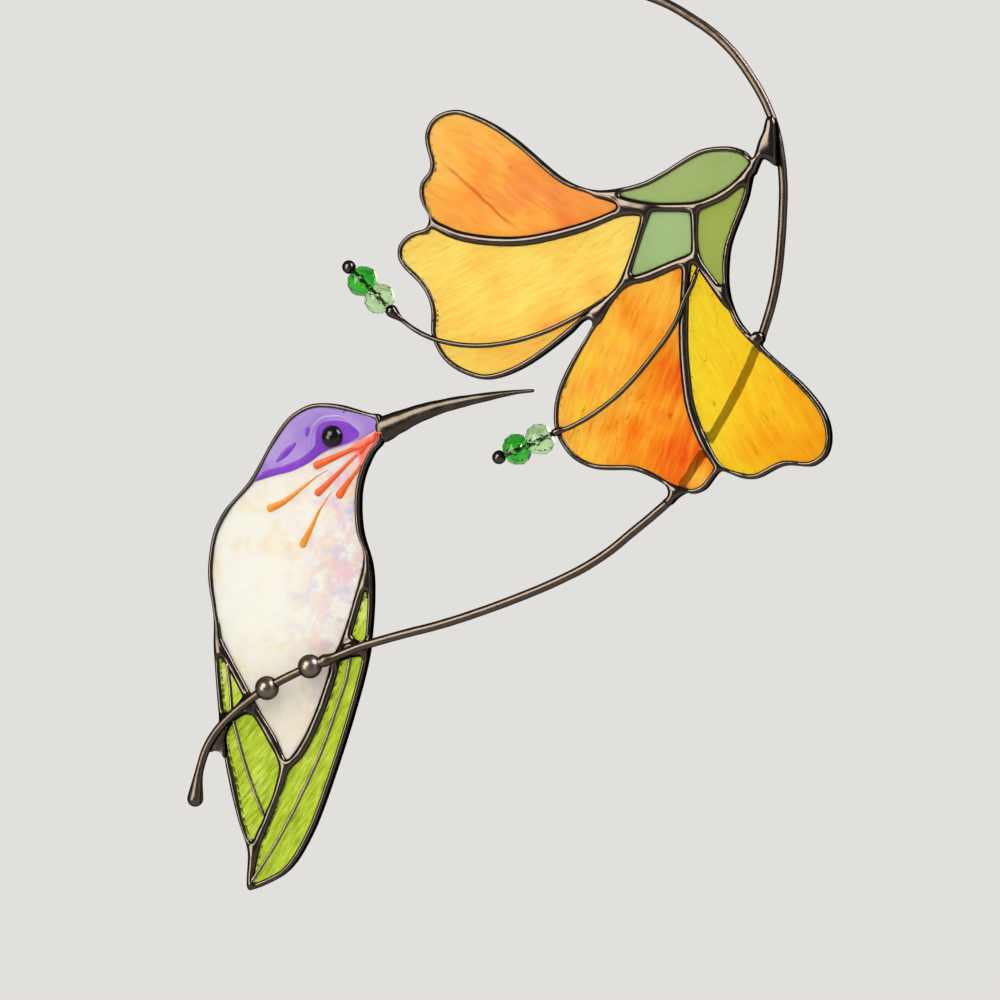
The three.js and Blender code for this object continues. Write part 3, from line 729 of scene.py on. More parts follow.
def ripple(places: Array, wavelength: float, seed: int, stretch: float = 1.0, heading: float = 0.0) -> Array:
    """A gentle random swell over a plane, about -1 to 1: the sum of plane waves in many directions.

    Args:
        places: Points of the plane, one a row.
        wavelength: The length of the middle wave.
        seed: Which of the swells it is.
        stretch: How much longer the swells are along `heading` than across it.
        heading: The direction of the long swells, in degrees from X.

    Returns:
        The height of the swell at each point.
    """
    draw = np.random.default_rng(seed)
    waves = 18
    angle = draw.uniform(0, 2 * np.pi, waves)
    number = 2 * np.pi / (wavelength * draw.uniform(0.6, 2.2, waves))
    phase = draw.uniform(0, 2 * np.pi, waves)
    c, s = math.cos(math.radians(heading)), math.sin(math.radians(heading))
    turned_places = places @ np.array([[c, -s], [s, c]]) / np.array([stretch, 1.0])
    total = np.zeros(len(places))
    for k, a, p in zip(number, angle, phase):
        total += np.sin(k * (turned_places[:, 0] * math.cos(a) + turned_places[:, 1] * math.sin(a)) + p)
    return total / math.sqrt(waves) / 1.4


@dataclass
class Sheet:
    """A flat region between loops, cut into triangles, with the numbers of the points on each loop."""

    points: Array
    triangles: Array
    borders: list[Array]

    @classmethod
    def between(cls, loops: list[Array], spacing: float, inner: tuple[float, ...] = ()) -> "Sheet":
        """Fills the space to the left of the loops with triangles.

        Points stand in staggered rows inside, with rows that follow the loops close to them, and all are
        joined by Delaunay's rule with the loops kept as edges.

        Args:
            loops: The loops, outer ones anticlockwise and holes clockwise.
            spacing: The distance between points inside.
            inner: How far inside the loops the rows that follow them are.

        Returns:
            The sheet.
        """
        a, b = sides_of(loops)
        near = []
        for reach in inner:
            for loop in loops:
                row = loop + reach * leftwards(loop)
                near.append(row[clearance(row, a, b) > reach * 0.97])
        low, high = a.min(0), a.max(0)
        rows = np.arange(low[1], high[1], spacing * math.sqrt(0.75))
        columns = np.arange(low[0], high[0], spacing)
        x, z = np.meshgrid(columns, rows)
        x = x + (np.arange(len(rows)) % 2)[:, None] * spacing / 2
        grid = np.stack([x.ravel(), z.ravel()], 1)
        grid = grid[within(grid, loops)]
        least = (max(inner) if inner else 0) + spacing * 0.55
        grid = grid[clearance(grid, a, b) > least]
        inside = np.vstack([*near, grid])
        inside = inside[within(inside, loops)]
        starts = np.cumsum([0] + [len(loop) for loop in loops])
        borders = [np.arange(s, s + len(loop)) for s, loop in zip(starts, loops)]
        edges = np.vstack([np.stack([ids, np.roll(ids, -1)], 1) for ids in borders])
        seeds = np.vstack([a, inside])
        out = delaunay_2d_cdt([Vector(p) for p in seeds.tolist()], edges.tolist(), [], 0, 1e-6)
        points = np.array([tuple(p) for p in out[0]])
        triangles = np.array(out[2])
        p = points[triangles]
        clockwise = cross(p[:, 1] - p[:, 0], p[:, 2] - p[:, 0]) < 0
        triangles[clockwise] = triangles[clockwise][:, ::-1]
        triangles = triangles[within(points[triangles].mean(1), loops)]
        origin = np.full(len(seeds), -1)
        for made, sources in enumerate(out[3]):
            origin[sources] = made
        return cls(points, triangles, [origin[ids] for ids in borders])

    def membrane(self) -> Array:
        """The height of a film blown up over the region and held down at its loops.

        It solves Laplace u = -1 with u = 0 on the loops, by finite elements and conjugate gradients. Over a
        strip of half width w the root of 2u is a half circle of radius w, and where strips meet it runs
        smoothly together.

        Returns:
            The root of 2u at each point.
        """
        tri, count = self.triangles, len(self.points)
        p = self.points[tri]
        sides = np.roll(p, -1, 1) - np.roll(p, 1, 1)
        area = np.abs(cross(sides[:, 0], sides[:, 1])) / 2 + 1e-12
        pairs, weights = [], []
        for k in range(3):
            i, j = (k + 1) % 3, (k + 2) % 3
            cotangent = -(sides[:, i] * sides[:, j]).sum(1) / (4 * area)
            pairs.append(tri[:, [i, j]])
            weights.append(cotangent)
        pairs, weights = np.vstack(pairs), np.concatenate(weights)
        load = np.bincount(tri.ravel(), np.repeat(area / 3, 3), count)
        free = np.ones(count, bool)
        free[np.concatenate(self.borders)] = False
        stiff = np.bincount(pairs.ravel(), np.repeat(weights, 2), count)
        stiff = np.where(stiff > 1e-9, stiff, 1.0)

        def pull(u: Array) -> Array:
            """The film's pull at each point.

            Args:
                u: The film's heights.

            Returns:
                The pull.
            """
            spread = np.bincount(pairs[:, 0], weights * u[pairs[:, 1]], count)
            spread += np.bincount(pairs[:, 1], weights * u[pairs[:, 0]], count)
            return np.where(free, stiff * u - spread, 0)

        u = np.zeros(count)
        rest = np.where(free, load, 0)
        step = rest / stiff
        strength = rest @ step
        for _ in range(600):
            pulled = pull(step)
            size = strength / (step @ pulled)
            u += size * step
            rest = rest - size * pulled
            if np.abs(rest).max() < 1e-7:
                break
            relaxed = rest / stiff
            strength, before = rest @ relaxed, strength
            step = relaxed + step * strength / before
        return np.sqrt(2 * np.maximum(u, 0))

    def closed(self, front: Array, back: Array, between: int = 0) -> Surface:
        """A closed body: the region at two depths, and walls along its loops.

        Args:
            front: The depth of the front at each point.
            back: The depth of the back at each point.
            between: How many rows of points the walls have between the two.

        Returns:
            The surface of the body.
        """
        count = len(self.points)
        x, z = self.points.T
        surface = Surface()
        surface.add(np.stack([x, front, z], 1), self.triangles)
        surface.add(np.stack([x, back, z], 1), self.triangles[:, ::-1])
        for ids in self.borders:
            rows = [ids]
            for k in range(between):
                share = (k + 1) / (between + 1)
                depth = front[ids] + (back[ids] - front[ids]) * share
                rows.append(surface.put(np.stack([x[ids], depth, z[ids]], 1)))
            rows.append(ids + count)
            for upper, lower in zip(rows[:-1], rows[1:]):
                quads = np.stack([upper, lower, np.roll(lower, -1), np.roll(upper, -1)], 1)
                surface.faces.extend(quads.tolist())
        return surface


# Materials.

SODA_LIME = 1.52  # how strongly window glass bends light
DULLED = "#5A5A5A"  # tint of the shine of hand-rolled glass, whose skin is too uneven to mirror the room


def linear(code: str) -> tuple[float, float, float, float]:
    """An sRGB colour such as "#A0B0C0" as linear red, green, blue and alpha."""
    parts = [int(code[i : i + 2], 16) / 255 for i in (1, 3, 5)]
    return (*(c / 12.92 if c <= 0.04045 else ((c + 0.055) / 1.055) ** 2.4 for c in parts), 1.0)


def add(tree: bpy.types.NodeTree, kind: str, inputs: dict | None = None, **settings) -> bpy.types.Node:
    """Adds a node with its settings and links.

    Args:
        tree: The material's nodes.
        kind: The node's type.
        inputs: For each input, by name or number, a value or the output that feeds it.
        settings: The node's own settings. `stops` gives a colour ramp its places and colours.

    Returns:
        The node.
    """
    made = tree.nodes.new("ShaderNode" + kind)
    stops = settings.pop("stops", ())
    for name, value in settings.items():
        setattr(made, name, value)
    for i, (place, colour) in enumerate(stops):
        element = made.color_ramp.elements[i] if i < 2 else made.color_ramp.elements.new(place)
        element.position = place
        element.color = linear(colour) if isinstance(colour, str) else (colour, colour, colour, 1.0)
    for key, value in (inputs or {}).items():
        if isinstance(value, bpy.types.NodeSocket):
            tree.links.new(value, made.inputs[key])
        else:
            made.inputs[key].default_value = value
    return made


def shader(name: str, **plain) -> tuple[bpy.types.Material, bpy.types.NodeTree, bpy.types.Node]:
    """A new material with plain values on its shader's own sockets.

    Args:
        name: The material's name.
        plain: Values by socket name, with underlines for spaces.

    Returns:
        The material, its nodes and its shader.
    """
    material = bpy.data.materials.new(name)
    material.use_nodes = True
    tree = material.node_tree
    bsdf = tree.nodes["Principled BSDF"]
    for key, value in plain.items():
        bsdf.inputs[key.replace("_", " ").title().replace("Ior", "IOR")].default_value = value
    return material, tree, bsdf


@dataclass(frozen=True)
class StreakyGlass:
    """Streaky art glass: two or three colours of molten glass folded together and rolled flat by hand.

    The colour drifts across the pane, gathers in clouds and is drawn out in wisps that lie one way. The
    rollers leave a soft swell and fine creases, and trapped air leaves pinhead bubbles. The colour is darkened
    on the creases and round the edges of the bubbles, as painted shade for the light that they bend away.
    Where the glass is milky it hides what is behind it, and elsewhere it shows it tinted.
    """

    name: str
    stops: tuple[tuple[float, str], ...]  # the colours that the glass runs through
    heading: float  # direction of the wisps, in degrees from X
    lean: tuple[float, float] = (0.0, 0.0)  # how far the colour runs along the stops, rightwards and upwards
    cloud: float = 13.0  # mm across a cloud
    patch: float = 1.3  # how far clouds pull the colour along the stops
    width: float = 1.5  # mm across a wisp
    length: float = 7.0  # how many times longer than wide a wisp is
    streak: float = 0.7  # how far wisps pull the colour along the stops
    clear: float = 0.8  # share of the light that goes through
    haze: float = 0.12
    seed: float = 0.0
    crease: float = 0.8  # how much painted shade darkens the creases and the edges of bubbles
    hatch: float = 0.2  # how dark the fine scratches that lie along the wisps are
    scratch: str = "#E09A50"
    fold: tuple[float, float, float, float] | None = None  # mm, the two ends of one long fold, along which a line of shade is painted
    pools: Spots = ()  # places whose colour is pulled along the stops
    relief: float = 0.06  # mm from the lowest to the highest of the texture

    def made(self, low: Array, high: Array) -> bpy.types.Material:
        """Builds the material.

        Args:
            low: The pane's lowest corner.
            high: Its highest corner.

        Returns:
            The material.
        """
        material, tree, bsdf = shader(self.name, transmission_weight=self.clear, roughness=self.haze,
                                      ior=SODA_LIME, specular_tint=linear(DULLED), specular_ior_level=0.1)
        place = add(tree, "TexCoord").outputs["Object"]
        turn = add(tree, "Mapping", {"Vector": place, "Location": (self.seed, self.seed / 2, self.seed / 3),
                                     "Rotation": (0, math.radians(self.heading), 0)}).outputs[0]
        long = add(tree, "Mapping", {"Vector": turn, "Scale": (
            1 / (self.width * self.length * MM), 0.3 / (self.width * MM), 1 / (self.width * MM))}).outputs[0]
        tone = self.tone(tree, place, turn, long, low, high)
        colour = add(tree, "ValToRGB", {"Fac": tone}, stops=self.stops).outputs["Color"]
        marks = self.marks(tree, turn, long)
        # Painted shade: the colour is darkened on the creases and round the edges of the bubbles, for the light
        # that they bend away.
        dark = add(tree, "Math", {0: marks, 1: self.crease}, operation="MULTIPLY").outputs[0]
        colour = add(tree, "Mix", {0: dark, 6: colour, 7: linear("#B46A28")}, data_type="RGBA",
                     blend_type="MULTIPLY").outputs[2]
        if self.hatch:
            colour = self.hatched(tree, turn, colour)
        if self.fold:
            colour = self.folded(tree, place, colour)
        tree.links.new(colour, bsdf.inputs["Base Color"])

        swell, fine = (add(tree, "TexNoise", {"Vector": long, "Scale": scale, "Detail": detail,
                                              "Roughness": rough}).outputs["Fac"]
                       for scale, detail, rough in ((0.45, 2.0, 0.5), (1.6, 3.0, 0.6)))
        height = add(tree, "Math", {0: fine, 1: 0.3, 2: swell}, operation="MULTIPLY_ADD").outputs[0]
        height = add(tree, "Math", {0: marks, 1: -0.12, 2: height}, operation="MULTIPLY_ADD").outputs[0]
        bump = add(tree, "Bump", {"Strength": 1.0, "Distance": self.relief * MM, "Height": height})
        tree.links.new(bump.outputs[0], bsdf.inputs["Normal"])
        return material

    def tone(self, tree: bpy.types.NodeTree, place: bpy.types.NodeSocket, turn: bpy.types.NodeSocket,
             long: bpy.types.NodeSocket, low: Array, high: Array) -> bpy.types.NodeSocket:
        """Where the glass's colour lies along the stops: a drift, clouds and wisps, and the pools' pull.

        Args:
            tree: The material's nodes.
            place: The place in the glass.
            turn: The place, turned so that X runs along the wisps.
            long: That place, drawn out along the wisps.
            low: The pane's lowest corner.
            high: Its highest corner.

        Returns:
            The place along the stops.
        """
        clouds = add(tree, "TexNoise", {"Vector": turn, "Scale": 1 / (self.cloud * MM), "Detail": 4.0,
                                        "Roughness": 0.45, "Distortion": 0.5}).outputs["Fac"]
        wisps = add(tree, "TexNoise", {"Vector": long, "Scale": 1.0, "Detail": 4.0, "Roughness": 0.55,
                                       "Distortion": 0.6}).outputs["Fac"]
        slope = np.array(self.lean) / (high - low)
        start = 0.5 - float(slope @ (low + high)) / 2 - 0.5 * self.patch - 0.5 * self.streak
        run = add(tree, "VectorMath", {0: place, 1: (slope[0] / MM, 0, slope[1] / MM)},
                  operation="DOT_PRODUCT").outputs["Value"]
        tone = add(tree, "Math", {0: run, 1: start}, operation="ADD").outputs[0]
        for noise, pull in ((clouds, self.patch), (wisps, self.streak)):
            tone = add(tree, "Math", {0: noise, 1: pull, 2: tone}, operation="MULTIPLY_ADD").outputs[0]
        flat = add(tree, "VectorMath", {0: place, 1: (1, 0, 1)}, operation="MULTIPLY").outputs[0]
        for x, z, reach, pull in self.pools:
            off = add(tree, "VectorMath", {0: flat, 1: (x * MM, 0, z * MM)},
                      operation="DISTANCE").outputs["Value"]
            tone = add(tree, "Math", {0: tone, 1: add(tree, "MapRange", {
                "Value": off, "From Max": reach * MM, "To Min": pull, "To Max": 0.0},
                interpolation_type="SMOOTHSTEP").outputs[0]}, operation="ADD").outputs[0]
        return tone

    def marks(self, tree: bpy.types.NodeTree, turn: bpy.types.NodeSocket,
              long: bpy.types.NodeSocket) -> bpy.types.NodeSocket:
        """Where the creases and the bubbles are: 1 on a crease or on a bubble's edge, and 0 away from them.

        Args:
            tree: The material's nodes.
            turn: The place in the glass, turned so that X runs along the wisps.
            long: That place, drawn out along the wisps.

        Returns:
            How strong a mark is.
        """
        fold = add(tree, "TexNoise", {"Vector": long, "Scale": 0.3, "Detail": 2.0,
                                      "Distortion": 1.2}).outputs["Fac"]
        off = add(tree, "Math", {0: fold, 1: 0.5}, operation="SUBTRACT").outputs[0]
        off = add(tree, "Math", {0: off}, operation="ABSOLUTE").outputs[0]
        line = add(tree, "MapRange", {"Value": off, "From Max": 0.012, "To Min": 1.0,
                                      "To Max": 0.0}).outputs[0]
        where = add(tree, "TexNoise", {"Vector": turn, "Scale": 1 / (5 * MM), "Detail": 1.0}).outputs["Fac"]
        where = add(tree, "MapRange", {"Value": where, "From Min": 0.54, "From Max": 0.62}).outputs[0]
        line = add(tree, "Math", {0: line, 1: where}, operation="MULTIPLY").outputs[0]
        cells = add(tree, "TexVoronoi", {"Vector": turn, "Scale": 1 / (5.5 * MM)}).outputs["Distance"]
        rings = add(tree, "ValToRGB", {"Fac": cells}, stops=(
            (0.0, 0.1), (0.048, 0.1), (0.062, 1.0), (0.078, 0.0), (0.1, 0.0)))
        return add(tree, "Math", {0: line, 1: rings.outputs["Color"]}, operation="MAXIMUM").outputs[0]

    def hatched(self, tree: bpy.types.NodeTree, turn: bpy.types.NodeSocket,
                colour: bpy.types.NodeSocket) -> bpy.types.NodeSocket:
        """Lays fine scratches over the colour: each about 0.35 mm wide and some 5 mm long, dark on one side.

        Args:
            tree: The material's nodes.
            turn: The place in the glass, turned so that X runs along the wisps.
            colour: The colour under the scratches.

        Returns:
            The colour with the scratches.
        """
        fine = add(tree, "Mapping", {"Vector": turn, "Scale": (
            1 / (5 * MM), 1 / (2 * MM), 1 / (0.7 * MM))}).outputs[0]
        scratch = add(tree, "TexNoise", {"Vector": fine, "Scale": 1.0, "Detail": 3.0,
                                         "Roughness": 0.6}).outputs["Fac"]
        much = add(tree, "MapRange", {"Value": scratch, "From Min": 0.46, "From Max": 0.66,
                                      "To Max": self.hatch}).outputs[0]
        return add(tree, "Mix", {0: much, 6: colour, 7: linear(self.scratch)}, data_type="RGBA",
                   blend_type="MULTIPLY").outputs[2]

    def folded(self, tree: bpy.types.NodeTree, place: bpy.types.NodeSocket,
               colour: bpy.types.NodeSocket) -> bpy.types.NodeSocket:
        """Lays painted shade along one long fold over the colour: a fine dark line that wavers and fades at
        both ends.

        Args:
            tree: The material's nodes.
            place: The place in the glass.
            colour: The colour under the fold.

        Returns:
            The colour with the fold.
        """
        start, end = np.array(self.fold[:2]) * MM, np.array(self.fold[2:]) * MM
        length = float(np.linalg.norm(end - start))
        u = (end - start) / length
        along, aside = (add(tree, "VectorMath", {0: place, 1: (x, 0, z)},
                            operation="DOT_PRODUCT").outputs["Value"] for x, z in (u, (-u[1], u[0])))
        waver = add(tree, "TexNoise", {"Vector": place, "Scale": 1 / (5 * MM), "Detail": 3.0}).outputs["Fac"]
        off = add(tree, "Math", {0: waver, 1: 1.6 * MM, 2: aside}, operation="MULTIPLY_ADD").outputs[0]
        middle = float(start @ [-u[1], u[0]]) + 0.8 * MM
        off = add(tree, "Math", {0: off, 1: middle, 2: 0.28 * MM}, operation="COMPARE").outputs[0]
        halfway = float(start @ u) + length / 2
        ends = add(tree, "Math", {0: along, 1: halfway}, operation="SUBTRACT").outputs[0]
        ends = add(tree, "Math", {0: ends}, operation="ABSOLUTE").outputs[0]
        fade = add(tree, "MapRange", {"Value": ends, "From Min": length * 0.35, "From Max": length * 0.55,
                                      "To Min": 0.75, "To Max": 0.0}).outputs[0]
        much = add(tree, "Math", {0: off, 1: fade}, operation="MULTIPLY").outputs[0]
        # Painted shade: the fold's line darkens the colour, for the light that the fold bends away.
        return add(tree, "Mix", {0: much, 6: colour, 7: linear("#D88A3A")}, data_type="RGBA",
                   blend_type="MULTIPLY").outputs[2]


@dataclass(frozen=True)
class MottledGlass:
    """Mottled opal glass with a lustre: cream, with soft clouds of peach, lilac and blue, faded out to the left
    by painted light.
    """

    name: str = "ivory_mottled_opal_glass"
    cloud: float = 6.0  # mm across a cloud
    clear: float = 0.3
    pearl: str = "#FFFFF6"
    straw: str = "#FFF2CE"
    edge: tuple[float, float] = (-0.055, -0.036)  # metres across, where the clouds start and are full; to the left they are faded out as painted light
    foot: tuple[float, float] = (-0.188, -0.168)  # metres up, where the colour is darkened most towards the bottom, and where that darkening ends
    clouds: tuple[tuple[float, float, str], ...] = (  # seed, share of the pane, and colour
        (0.3, 0.58, "#FFE2C6"), (1.7, 0.62, "#E2D2F2"), (2.9, 0.66, "#CDD6F6"), (4.1, 0.62, "#FAD6DC"))

    def made(self, low: Array, high: Array) -> bpy.types.Material:
        """Builds the material. It doesn't depend on the pane's corners, `low` and `high`.

        Args:
            low: The pane's lowest corner.
            high: Its highest corner.

        Returns:
            The material.
        """
        material, tree, bsdf = shader(self.name, transmission_weight=self.clear, roughness=0.25,
                                      ior=SODA_LIME, specular_tint=linear(DULLED), specular_ior_level=0.1)
        place = add(tree, "TexCoord").outputs["Object"]
        specks = add(tree, "TexNoise", {"Vector": place, "Scale": 1 / (self.cloud * MM), "Detail": 4.0,
                                        "Roughness": 0.55, "Distortion": 0.4}).outputs["Fac"]
        colour = add(tree, "ValToRGB", {"Fac": specks},
                     stops=((0.55, self.pearl), (0.72, self.straw))).outputs[0]
        across = add(tree, "SeparateXYZ", {"Vector": place}).outputs["X"]
        # Painted light: the clouds fade out towards the left, where the light washes the pane out.
        side = add(tree, "MapRange", {"Value": across, "From Min": self.edge[0], "From Max": self.edge[1],
                                      "To Min": 0.06, "To Max": 0.9}).outputs[0]
        for seed, share, tint in self.clouds:
            moved = add(tree, "Mapping", {"Vector": place, "Location": (seed, seed, seed)}).outputs[0]
            cloud = add(tree, "TexNoise", {"Vector": moved, "Scale": 1 / (self.cloud * MM), "Detail": 4.0,
                                           "Roughness": 0.6, "Distortion": 0.5}).outputs["Fac"]
            soft = add(tree, "MapRange", {"Value": cloud, "From Min": share - 0.12,
                                          "From Max": share}).outputs[0]
            much = add(tree, "Math", {0: soft, 1: side}, operation="MULTIPLY").outputs[0]
            colour = add(tree, "Mix", {0: much, 6: colour, 7: linear(tint)}, data_type="RGBA").outputs[2]
        height = add(tree, "SeparateXYZ", {"Vector": place}).outputs["Z"]
        below = add(tree, "MapRange", {"Value": height, "From Min": self.foot[0], "From Max": self.foot[1],
                                       "To Min": 0.3, "To Max": 0.0}).outputs[0]
        colour = add(tree, "Mix", {0: below, 6: colour, 7: linear("#FFF4D6")}, data_type="RGBA",
                     blend_type="MULTIPLY").outputs[2]
        tree.links.new(colour, bsdf.inputs["Base Color"])
        swell = add(tree, "TexNoise", {"Vector": place, "Scale": 1 / (2.2 * MM),
                                       "Detail": 2.0}).outputs["Fac"]
        bump = add(tree, "Bump", {"Strength": 1.0, "Distance": 0.1 * MM, "Height": swell})
        tree.links.new(bump.outputs[0], bsdf.inputs["Normal"])
        return material


@dataclass(frozen=True)
class DarkSolder:
    """Tin and lead solder under a black patina, polished with wax.

    The patina takes nearly all of the metal's shine, so it is black but for a warm streak where a bead
    mirrors the window. The iron leaves a faint unevenness.
    """

    name: str = "black_patina_solder"
    shine: str = "#443E39"
    worn: str = "#4C443E"
    edge: str = "#2A2725"
    roughness: float = 0.13
    swell: float = 2.6  # mm between the swells that the iron leaves

    def made(self) -> bpy.types.Material:
        """Builds the material.

        Returns:
            The material.
        """
        material, tree, bsdf = shader(self.name, metallic=1.0, specular_tint=linear(self.edge))
        place = add(tree, "TexCoord").outputs["Object"]
        cloud = add(tree, "TexNoise", {"Vector": place, "Scale": 1 / (self.swell * MM), "Detail": 2.0,
                                       "Roughness": 0.5}).outputs["Fac"]
        colour = add(tree, "ValToRGB", {"Fac": cloud},
                     stops=((0.4, self.shine), (0.75, self.worn))).outputs["Color"]
        tree.links.new(colour, bsdf.inputs["Base Color"])
        dull = add(tree, "MapRange", {"Value": cloud, "From Min": 0.3, "From Max": 0.7,
                                      "To Min": self.roughness - 0.03,
                                      "To Max": self.roughness + 0.05}).outputs[0]
        tree.links.new(dull, bsdf.inputs["Roughness"])
        bump = add(tree, "Bump", {"Strength": 1.0, "Distance": 0.012 * MM, "Height": cloud})
        tree.links.new(bump.outputs[0], bsdf.inputs["Normal"])
        return material


@dataclass(frozen=True)
class Crystal:
    """Cut lead crystal, polished: clear coloured glass with sharp flat facets, which scatter the light."""

    name: str
    colour: str
    deep: str

    def made(self) -> bpy.types.Material:
        """Builds the material.

        Returns:
            The material.
        """
        material, tree, bsdf = shader(self.name, transmission_weight=1.0, roughness=0.015, ior=1.6,
                                      specular_tint=linear("#A0A0A0"))
        place = add(tree, "TexCoord").outputs["Object"]
        cloud = add(tree, "TexNoise", {"Vector": place, "Scale": 1 / (3 * MM)}).outputs["Fac"]
        colour = add(tree, "ValToRGB", {"Fac": cloud},
                     stops=((0.35, self.colour), (0.65, self.deep))).outputs[0]
        tree.links.new(colour, bsdf.inputs["Base Color"])
        return material


@dataclass(frozen=True)
class Enamel:
    """Glass enamel, laid on thick and left glossy, with pools of deeper colour where it gathered."""

    name: str
    pale: str
    deep: str
    pool: float = 6.0  # mm across a pool
    gloss: float = 0.14

    def made(self) -> bpy.types.Material:
        """Builds the material.

        Returns:
            The material.
        """
        material, tree, bsdf = shader(self.name, roughness=0.14, ior=1.5, specular_ior_level=self.gloss)
        place = add(tree, "TexCoord").outputs["Object"]
        cloud = add(tree, "TexNoise", {"Vector": place, "Scale": 1 / (self.pool * MM), "Detail": 2.0,
                                       "Distortion": 0.7}).outputs["Fac"]
        colour = add(tree, "ValToRGB", {"Fac": cloud},
                     stops=((0.38, self.pale), (0.66, self.deep))).outputs["Color"]
        tree.links.new(colour, bsdf.inputs["Base Color"])
        bump = add(tree, "Bump", {"Strength": 1.0, "Distance": 0.06 * MM, "Height": cloud})
        tree.links.new(bump.outputs[0], bsdf.inputs["Normal"])
        return material


@dataclass(frozen=True)
class StudioPaper:
    """Seamless paper: matt and pale, with a faint tooth."""

    name: str = "pale_studio_paper"
    colour: str = "#E4E2DE"

    def made(self) -> bpy.types.Material:
        """Builds the material.

        Returns:
            The material.
        """
        material, tree, bsdf = shader(self.name, roughness=0.9, specular_ior_level=0.1)
        place = add(tree, "TexCoord").outputs["Object"]
        tooth = add(tree, "TexNoise", {"Vector": place, "Scale": 400.0, "Detail": 2.0}).outputs["Fac"]
        colour = add(tree, "Mix", {0: tooth, 6: linear(self.colour), 7: linear("#DEDCD8")},
                     data_type="RGBA").outputs[2]
        tree.links.new(colour, bsdf.inputs["Base Color"])
        return material


# Sub-assemblies.


def dress(piece: bpy.types.Object, material: bpy.types.Material, slot: Slot, *nodes: str) -> bpy.types.Object:
    """Gives a piece its material, sets it on the model and lets it stand for solids.

    Args:
        piece: The piece.
        material: Its material.
        slot: The record's slot that its finish comes from. It is not used.
        nodes: The solids it stands for, if any.

    Returns:
        The piece.
    """
    piece.data.materials.append(material)
    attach(piece, "root")
    if nodes:
        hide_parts(*nodes)
    log.info("%s: %d faces", piece.name, len(piece.data.polygons))
    return piece


@dataclass
class Pane:
    """A pane of glass: the outline of its solid, with the swell that the rollers left on both faces."""

    node: str
    glass: StreakyGlass | MottledGlass
    slot: Slot
    front: float
    back: float
    swell: float = 0.05
    wavelength: float = 5.0
    stretch: float = 2.0
    inset: float = 0.3  # how much smaller it is cut, so that the solder hides its edge
    step: float = 0.7  # between points along its edge
    spacing: float = 0.75  # between points inside
    spots: Spots = ()  # places where it is cut back more

    def build(self, seed: int) -> bpy.types.Object:
        """Builds and dresses the pane.

        Args:
            seed: Which of the random swells it has.

        Returns:
            The pane.
        """
        loop = through(section(self.node, (self.front + self.back) / 2)[0], True, self.step)
        loop = eased(loop + self.inset * leftwards(loop), self.spots)
        sheet = Sheet.between([loop], self.spacing)
        heading = getattr(self.glass, "heading", 0.0)
        lift = self.swell * ripple(sheet.points, self.wavelength, seed, self.stretch, heading)
        sink = self.swell * ripple(sheet.points, self.wavelength * 1.4, seed + 50, self.stretch, heading)
        surface = sheet.closed(self.front + lift, self.back + sink)
        glass = self.glass.made(loop.min(0), loop.max(0))
        return dress(surface.built(self.node + "_glass"), glass, self.slot, self.node)


@dataclass
class SolderNet:
    """A panel's solder: one bead round its edge and along each seam, with a smooth fillet where they meet."""

    node: str
    name: str
    front: float  # the glass faces that the beads lap over
    back: float
    cut: float  # where the solid is cut for the net's outline
    twig: Line
    reaches_back: bool  # whether the twig is behind the panel or in front
    web_cut: float | None = None  # where the solid is cut for the webs that join it to the twig
    rise: float = 0.9  # a bead's height as a share of its half width
    most: float = 1.6  # the highest that a bead is on the panel's front
    most_behind: float = 0.98
    uneven: float = 0.04  # share by which the height wavers
    spacing: float = 0.36
    rows: tuple[float, ...] = (0.06, 0.2)  # how far inside the outline rows of points follow it
    tuck: float = 0.1  # how far the edge of a bead sinks into the glass
    fillet_reach: float = 2.6  # how far from the twig's line the solder starts to reach out to it
    fillet_most: float = 1.5  # how far it has reached out at the line
    web_front: float = 0.6  # the depth at which the round front of a web starts
    web_rise: float = 0.3
    spread: Spots = ()  # places where a seam is drawn in, or spread when negative

    def build(self, solder: bpy.types.Material) -> bpy.types.Object:
        """Builds and dresses the net.

        Args:
            solder: Its finish.

        Returns:
            The net.
        """
        loops = [eased(through(loop, True, 0.42), self.spread) for loop in section(self.node, self.cut)]
        sheet = Sheet.between(loops, self.spacing, self.rows)
        film = self.rise * sheet.membrane() * (1 + self.uneven * ripple(sheet.points, 5.0, 7))
        height, behind = capped(film, self.most), capped(film, self.most_behind)
        fillet = self.fillet(sheet.points) * np.minimum(1, height / 0.5)
        front = self.front + self.tuck - height - (not self.reaches_back) * fillet
        back = self.back - self.tuck + behind + self.reaches_back * fillet
        surface = sheet.closed(front, back, 2)
        if self.web_cut is not None:
            for loop in section(self.node, self.web_cut):
                surface.joined(self.web(loop))
        return dress(surface.built(self.name), solder, Slot.SOLDER, self.node)

    def fillet(self, points: Array) -> Array:
        """How far the solder reaches out to the twig: up to its middle, easing off to nothing beside it.

        Args:
            points: The points of the net.

        Returns:
            A height for each point.
        """
        line = self.twig.middles[:, [0, 2]]
        off = clearance(points, line[:-1], line[1:])
        return self.fillet_most * gently(np.clip(1 - off / self.fillet_reach, 0, 1))

    def web(self, loop: Array) -> Surface:
        """Solder that filled a gap beside the twig: round in front, and run into the panel behind.

        Args:
            loop: The outline of the gap.

        Returns:
            The surface of the web.
        """
        sheet = Sheet.between([through(loop, True, 0.35)], self.spacing, self.rows)
        lift = capped(sheet.membrane(), self.web_rise)
        return sheet.closed(self.web_front - lift, np.full(len(lift), self.front + 0.6), 2)


